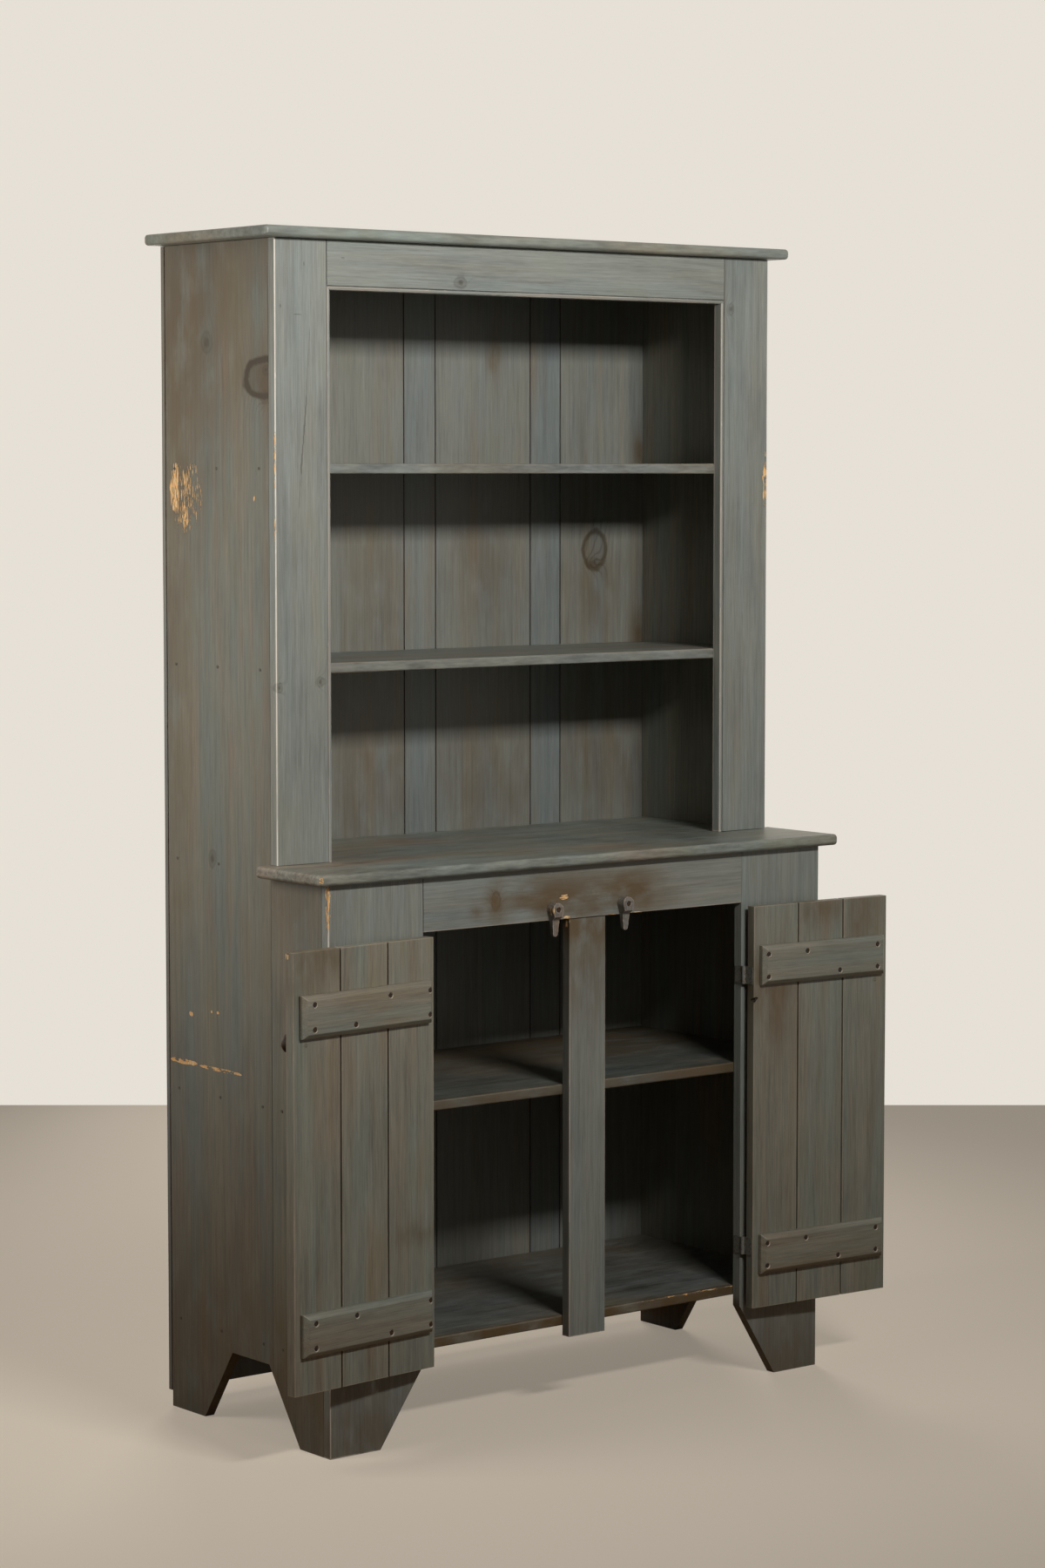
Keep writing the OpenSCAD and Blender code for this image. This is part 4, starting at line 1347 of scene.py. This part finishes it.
@dataclass
class FaceFrames(Assembly):
    """The upper and lower face frames, with the bead round the upper opening."""

    quirk_width: float = 0.0012
    quirk_depth: float = 0.0025
    outer_arris: float = 0.0024
    inner_arris: float = 0.0016
    bead_radius: float = 0.0031
    bead_waves: float = 0.0002
    foot_width: float = 0.1015
    crisp: float = 0.0003

    def quirk(self, face: Face) -> Cutter:
        """Gives the cutter for the small groove beside the bead."""
        return partial(groove, face, self.quirk_width, self.quirk_depth, MARGIN.x)

    def foot(self, side: str, way: int) -> Cut:
        """Gives the cut that tapers the foot of a lower stile.

        Args:
            side: The side of the stile.
            way: The side as a sign, -1 for the left.

        Returns:
            The cut.
        """
        low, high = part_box(f"lower_stile_{side}")
        outer, inner = (low.x, high.x) if way < 0 else (high.x, low.x)
        floor = outer - way * self.foot_width
        return saw_cut((floor, 0, 0), (-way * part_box("centre_stile")[0].z, 0, -abs(inner - floor)))

    def bead(self, node: str) -> Board:
        """Describes a strip of the bead, round at the front and mitred where two strips meet.

        Args:
            node: The strip's node.

        Returns:
            The strip.
        """
        low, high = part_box(node)
        grain, faces, mitres = {
            "upper_bead_top": (Grain.ACROSS, (TOP, UNDER), ((low.x, -1, -1), (high.x, 1, -1))),
            "upper_bead_left": (Grain.UPRIGHT, (LEFT, RIGHT), ((low.x, 1, 1),)),
            "upper_bead_right": (Grain.UPRIGHT, (LEFT, RIGHT), ((high.x, -1, 1),)),
        }[node]
        return Board(
            node, grain, FRAME_PAINT, ease=self.crisp, waves=self.bead_waves,
            arrises=rounds(self.bead_radius, (FRONT,), faces, 5),
            trims=tuple(saw_cut((x, 0, high.z), (way, 0, rise)) for x, way, rise in mitres),
        )

    def boards(self) -> Iterator[Board]:
        """Lists the stiles, rails and beads.

        Yields:
            The boards.
        """
        for side, outer, inner, way in (("left", LEFT, RIGHT, -1), ("right", RIGHT, LEFT, 1)):
            paint = HIGHLIT_CORNER_PAINT if side == "left" else FRAME_PAINT
            corner = rounds(self.outer_arris, (outer,), (FRONT,))
            yield Board(
                f"upper_stile_{side}", Grain.UPRIGHT, paint, ease=self.crisp, arrises=corner,
                holes=(self.quirk(inner),), sheltered=(inner, TOP, UNDER, BACK),
            )
            yield Board(
                f"lower_stile_{side}", Grain.UPRIGHT, paint, ease=self.crisp, trims=(self.foot(side, way),),
                arrises=corner + rounds(self.inner_arris, (inner,), (FRONT,)), sheltered=(inner, TOP, BACK),
            )
        yield Board(
            "upper_rail", Grain.ACROSS, FRAME_PAINT, ease=self.crisp, holes=(self.quirk(UNDER),),
            sheltered=(LEFT, RIGHT, TOP, UNDER),
        )
        for node in ("upper_bead_left", "upper_bead_right", "upper_bead_top"):
            yield self.bead(node)
        yield Board(
            "lower_rail", Grain.ACROSS, FRAME_PAINT, ease=self.crisp,
            arrises=rounds(self.inner_arris, (UNDER,), (FRONT,)), sheltered=(LEFT, RIGHT, TOP, BACK),
        )
        yield Board(
            "centre_stile", Grain.UPRIGHT, FRAME_PAINT, ease=0.0004, sheltered=(TOP, BACK),
            arrises=rounds(self.outer_arris, (LEFT, RIGHT), (FRONT,)),
        )


@dataclass
class Door(Assembly):
    """A batten door in its own axes: the hinge pin is the origin, and the closed door lies along X."""

    side: str
    plank_arris: float = 0.0016
    bevel: float = 0.008
    # The holes over the sunk screws: a bore, and a mouth that is broken out round it.
    hole_sides: int = 24
    hole_radius: float = 0.0044
    hole_sink: float = 0.003
    hole_clear: float = 0.002
    mouth_radii: tuple[float, float] = (0.004, 0.0063)
    mouth_depth: float = 0.0022
    mouth_sink: float = 0.0006
    head_level: float = 0.0001
    screws_apart: float = 0.012
    # The piece that is knocked out of the right door.
    bite_height: float = 0.438
    bite_size: Point = (0.013, 0.014, 0.008)
    bite_slant: float = 25.0
    bite_waves: tuple[float, float] = (0.007, 0.006)
    # The knob's outline from its foot to its top, as shares of its radius and its length.
    outline: tuple[tuple[float, float], ...] = (
        (0.51, 0.0), (0.52, 0.04), (0.51, 0.09), (0.46, 0.13), (0.42, 0.2), (0.42, 0.3), (0.48, 0.37),
        (0.7, 0.5), (0.9, 0.6), (0.98, 0.66), (1.0, 0.7), (0.98, 0.76), (0.9, 0.83), (0.78, 0.89),
        (0.58, 0.95), (0.32, 0.985), (0.0, 1.0),
    )

    @property
    def place(self) -> Matrix:
        """The door's place in the frame, as it stands open at rest.

        Returns:
            The place.
        """
        hinge = next(joint for joint in frame["joints"] if joint["name"] == f"{self.side}_door_hinge")
        closing = max(hinge["range_deg"], key=abs)
        return Matrix.Translation(Vector(hinge["pos_m"])) @ Matrix.Rotation(-math.radians(closing), 4, "Z")

    def board(self, part: str, grain: Grain, finish: Finish = DOOR_PAINT, **settings: object) -> Board:
        """Describes a piece of wood of this door."""
        node, body = f"{self.side}_door_{part}", f"{self.side}_door"
        return Board(node, grain, finish, place=self.place, body=body, **settings)

    def screw_spots(self, low: Vector, high: Vector) -> tuple[float, list[Vector]]:
        """Finds the screw heads that lie within a batten, from where the frame has the screws.

        Args:
            low: The lowest corner of the batten.
            high: The highest corner of the batten.

        Returns:
            How far out the heads stand, and their middles.
        """
        back = self.place.inverted()
        screws = frame["nodes"][f"{self.side}_door_batten_screws"]
        points = [back @ vertex.co for vertex in screws.data.vertices]
        plane = max(point.y for point in points)
        spots: list[list[Vector]] = []
        for point in points:
            if point.y <= plane - self.head_level or not low.z < point.z < high.z:
                continue
            near = next((spot for spot in spots if (spot[0] - point).length < self.screws_apart), None)
            if near is None:
                spots.append([point])
            else:
                near.append(point)
        return plane, [sum(spot, Vector((0, 0, 0))) / len(spot) for spot in spots]

    def screw_holes(self, low: Vector, high: Vector) -> bpy.types.Object:
        """Gives the cutter for the holes over a batten's screws.

        Args:
            low: The lowest corner of the batten.
            high: The highest corner of the batten.

        Returns:
            The cutter.
        """
        plane, spots = self.screw_spots(low, high)
        depth = high.y + self.hole_clear - plane
        cutters = []
        for spot in spots:
            bpy.ops.mesh.primitive_cylinder_add(
                vertices=self.hole_sides, radius=self.hole_radius, depth=depth + self.hole_sink,
                location=(spot.x, plane + (depth - self.hole_sink) / 2, spot.z), rotation=(math.pi / 2, 0, 0),
            )
            cutters.append(bpy.context.active_object)
            bpy.ops.mesh.primitive_cone_add(
                vertices=self.hole_sides, radius1=self.mouth_radii[0], radius2=self.mouth_radii[1],
                depth=self.mouth_depth, location=(spot.x, high.y - self.mouth_sink, spot.z),
                rotation=(-math.pi / 2, 0, 0),
            )
            cutters.append(bpy.context.active_object)
        Bench.take(cutters[0])
        for cutter in cutters:
            cutter.select_set(True)
        bpy.ops.object.join()
        bpy.ops.object.transform_apply(location=True, rotation=True, scale=True)
        return bpy.context.active_object

    def bite(self, low: Vector, high: Vector) -> bpy.types.Object:
        """Gives the cutter for the piece that is knocked out of the right door's hinge edge.

        Args:
            low: The lowest corner of the plank.
            high: The highest corner of the plank.

        Returns:
            The cutter.
        """
        cutter = Bench.start(
            bpy.ops.mesh.primitive_ico_sphere_add, "bite", self.bite_size, subdivisions=3, radius=1,
            location=(min(low.x, high.x, key=abs), high.y, self.bite_height),
            rotation=(0, math.radians(self.bite_slant), 0),
        )
        Bench.wave(cutter, *self.bite_waves)
        return cutter

    def boards(self) -> Iterator[Board]:
        """Lists the planks and the battens.

        Yields:
            The boards.
        """
        corners = rounds(self.plank_arris, (LEFT, RIGHT), (FRONT, BACK), 3)
        for number in (1, 2, 3):
            bitten = (self.side, number) == ("right", 1)
            yield self.board(
                f"plank_{number}", Grain.UPRIGHT, arrises=corners, ease=0.0012,
                holes=(self.bite,) if bitten else (), hole_finish=SHADED_TORN_WOOD if bitten else None,
            )
        bevels = rounds(self.bevel, (BACK,), (LEFT, RIGHT, UNDER, TOP), 1)
        for height in ("upper", "lower"):
            yield self.board(
                f"batten_{height}", Grain.ACROSS, arrises=bevels, ease=0.0014,
                holes=(self.screw_holes,), hole_finish=HOLE_WOOD,
            )

    def knob(self, shop: PaintShop) -> bpy.types.Object:
        """Turns the knob: half its outline is spun round the axis that the frame's knob has.

        Args:
            shop: Where the finish comes from.

        Returns:
            The finished knob.
        """
        board = self.board("knob", Grain.UPRIGHT, KNOB_WOOD)
        low, high = local_box(board.node, self.place)
        axis = Vector(((low.x + high.x) / 2, high.y, (low.z + high.z) / 2))
        length, radius = high.y - low.y, (high.x - low.x) / 2
        piece = Bench.start(bpy.ops.mesh.primitive_plane_add, f"{board.node}_turned", size=0.001, location=axis)
        bpy.context.tool_settings.mesh_select_mode = (True, False, False)
        with Bench.editing(piece):
            bpy.ops.mesh.select_all(action="SELECT")
            bpy.ops.mesh.merge(type="CENTER")
            here = axis
            for reach, height in self.outline:
                there = Vector((axis.x + reach * radius, axis.y - height * length, axis.z))
                bpy.ops.mesh.extrude_region_move(TRANSFORM_OT_translate={"value": there - here})
                here = there
            bpy.ops.mesh.select_all(action="SELECT")
            bpy.ops.mesh.spin(steps=40, angle=2 * math.pi, center=axis, axis=(0, 1, 0))
            bpy.ops.mesh.select_all(action="SELECT")
            bpy.ops.mesh.remove_doubles(threshold=1e-5)
            bpy.ops.mesh.normals_make_consistent(inside=False)
        Bench.smooth(piece)
        return board.dress(piece, low, high, shop)

    def build(self, shop: PaintShop) -> Iterator[bpy.types.Object]:
        """Builds the door's planks and battens, and its knob."""
        yield from super().build(shop)
        yield self.knob(shop)


@dataclass
class TurnButton(Assembly):
    """A whittled turn button: the frame's button with its facets softened by the knife."""

    side: str
    voxel: float = 0.0007
    hollows: tuple[float, float] = (0.0009, 0.006)

    def build(self, shop: PaintShop) -> Iterator[bpy.types.Object]:
        """Builds the button.

        Args:
            shop: Where the finish comes from.

        Yields:
            The finished button.
        """
        board = Board(f"{self.side}_turn_button", Grain.UPRIGHT, BUTTON_PAINT, body=f"{self.side}_button")
        piece = Bench.copy_of(board.node, f"{board.node}_wood")
        Bench.modify(piece, "REMESH", mode="VOXEL", voxel_size=self.voxel)
        Bench.modify(piece, "SMOOTH", factor=0.5, iterations=6)
        Bench.wave(piece, *self.hollows)
        Bench.smooth(piece)
        yield board.dress(piece, *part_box(board.node), shop)


class Ironwork(Assembly):
    """The iron that stays as the frame has it: hinges, pins and screws."""

    def build(self, shop: PaintShop) -> Iterator[bpy.types.Object]:
        """Gives each iron node its finish.

        Args:
            shop: Where the finishes come from.

        Yields:
            The nodes.
        """
        for name, node in frame["nodes"].items():
            if node.hide_render:
                continue
            finish = OLD_IRON
            if "hinge" in name:
                finish = PAINTED_IRON
            elif "knob_screw" in name:
                finish = PAINTED_SCREW
            node.data.materials.clear()
            node.data.materials.append(shop.iron(finish))
            yield node


@dataclass(frozen=True)
class Lamp:
    """A soft lamp: its place, what it faces, its width and height, its watts, its colour and its spread."""

    name: str
    where: Point
    aim: Point
    size: tuple[float, float]
    power: float
    colour: Point
    spread: float = 180.0
    glossy: bool = True

    def hang(self) -> None:
        """Puts the lamp in the scene, unseen by the camera."""
        data = bpy.data.lights.new(self.name, "AREA")
        data.shape, data.size, data.size_y = "RECTANGLE", *self.size
        data.energy, data.color, data.spread = self.power, self.colour, math.radians(self.spread)
        lamp = bpy.data.objects.new(self.name, data)
        lamp.visible_camera, lamp.visible_glossy = False, self.glossy
        lamp.location = self.where
        lamp.rotation_euler = (Vector(self.aim) - Vector(self.where)).to_track_quat("-Z", "Y").to_euler()
        bpy.context.scene.collection.objects.link(lamp)


LAMPS = (
    Lamp("key", (-0.5, -2.95, 2.62), (-0.35, 0.0, 2.85), (1.0, 0.34), 60.0, (1.0, 0.99, 0.97), 140.0),
    Lamp("side", (-1.62, 0.16, 1.52), (-0.5, 0.1, 1.46), (0.7, 0.7), 8.8, (1.0, 0.97, 0.93)),
    Lamp("high", (-2.2, 0.0, 3.2), (-0.5, 0.0, 1.4), (1.2, 1.2), 5.0, (1.0, 0.98, 0.95)),
    Lamp("front", (-2.4, -3.4, 1.3), (0.0, 0.0, 1.1), (1.5, 1.5), 1.5, (1.0, 0.97, 0.93)),
    Lamp("rear", (1.9, 3.3, 0.9), (0.0, 0.25, 1.2), (1.4, 1.4), 34.0, (1.0, 0.98, 0.95), 90.0, glossy=False),
)


@dataclass
class Studio:
    """The floor, the light and the camera."""

    eye: Point = (-4.0888, -5.1761, 1.6052)
    turn: float = -38.453
    dip: float = 4.691
    lens: float = 87.69
    sensor: float = 36.0
    floor_reach: float = 3.0
    apron_reach: float = 7.0
    wall: Colour = tone(230, 224, 214)
    floor: Colour = tone(204, 192, 176)
    floor_bounce: Colour = tone(160, 128, 98)
    floor_glow: float = 0.42
    sky: Colour = (0.003, 0.00291, 0.00279, 1.0)

    def camera(self) -> None:
        """Stands the camera where the photograph was taken from."""
        data = bpy.data.cameras.new("camera")
        data.lens, data.sensor_width, data.sensor_fit = self.lens, self.sensor, "AUTO"
        camera = bpy.data.objects.new("camera", data)
        camera.location = self.eye
        camera.rotation_euler = (math.radians(90 - self.dip), 0, math.radians(self.turn))
        bpy.context.scene.collection.objects.link(camera)
        bpy.context.scene.camera = camera

    def strip(self, name: str, near: float, far: float) -> bpy.types.Object:
        """Lays a strip of floor across the view.

        Args:
            name: The name of the strip.
            near: Where it starts, as a distance behind the cupboard's origin, square to the view.
            far: Where it ends.

        Returns:
            The strip.
        """
        turned = Matrix.Rotation(math.radians(self.turn), 4, "Z")
        return Bench.start(
            bpy.ops.mesh.primitive_plane_add, name, (2 * self.floor_reach, far - near, 1), size=1,
            location=turned @ Vector((0, (near + far) / 2, 0)), rotation=turned.to_euler(),
        )

    def ground(self) -> None:
        """Lays a plain pale floor that ends in a straight line behind the cupboard.

        What lies in front of it only fills the view, and gives nothing to the light on the cupboard.
        """
        floor = self.strip("floor", -self.floor_reach, self.floor_reach)
        apron = self.strip("floor apron", -self.apron_reach, -self.floor_reach)
        apron.visible_diffuse = apron.visible_glossy = apron.visible_shadow = False
        material = bpy.data.materials.new("floor")
        wires = rewire(material)
        seen = wires.out(wires.node("ShaderNodeLightPath"), "Is Camera Ray")
        matt, glow = wires.node("ShaderNodeBsdfDiffuse"), wires.node("ShaderNodeEmission")
        wires.fill(matt, Color=wires.blend(seen, self.floor_bounce, self.floor))
        wires.fill(glow, Color=self.floor, Strength=seen * self.floor_glow)
        both = wires.fill(wires.node("ShaderNodeAddShader"), wires.out(matt), wires.out(glow))
        wires.fill(wires.node("ShaderNodeOutputMaterial"), Surface=wires.out(both))
        for piece in (floor, apron):
            piece.data.materials.append(material)

    def world(self) -> None:
        """Surrounds the cupboard with a pale wall to look at and a dim, even light."""
        world = bpy.data.worlds.new("room")
        bpy.context.scene.world = world
        wires = rewire(world)
        path = wires.node("ShaderNodeLightPath")
        camera, glossy, through = (wires.out(path, f"Is {way} Ray") for way in ("Camera", "Glossy", "Transmission"))
        seen = wires.math("MAXIMUM", wires.math("MAXIMUM", camera, glossy), through)
        shader = wires.fill(wires.node("ShaderNodeBackground"), Color=wires.blend(seen, self.sky, self.wall))
        wires.fill(wires.node("ShaderNodeOutputWorld"), Surface=wires.out(shader))

    def build(self) -> None:
        """Sets up the whole studio."""
        bpy.context.scene.view_settings.view_transform = "Standard"
        self.camera()
        self.ground()
        self.world()
        for lamp in LAMPS:
            lamp.hang()


def main() -> None:
    """Builds the cupboard piece by piece, reports each one, and sets up the studio."""
    logging.basicConfig(level=logging.INFO, format="%(message)s")
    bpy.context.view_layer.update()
    shop = PaintShop()
    assemblies = (
        Case(), FaceFrames(), Door("left"), Door("right"), TurnButton("left"), TurnButton("right"), Ironwork()
    )
    for assembly in assemblies:
        for piece in assembly.build(shop):
            log.info("%s: %s, %d faces", type(assembly).__name__, piece.name, len(piece.data.polygons))
    Studio().build()


if __name__ == "__main__":
    main()
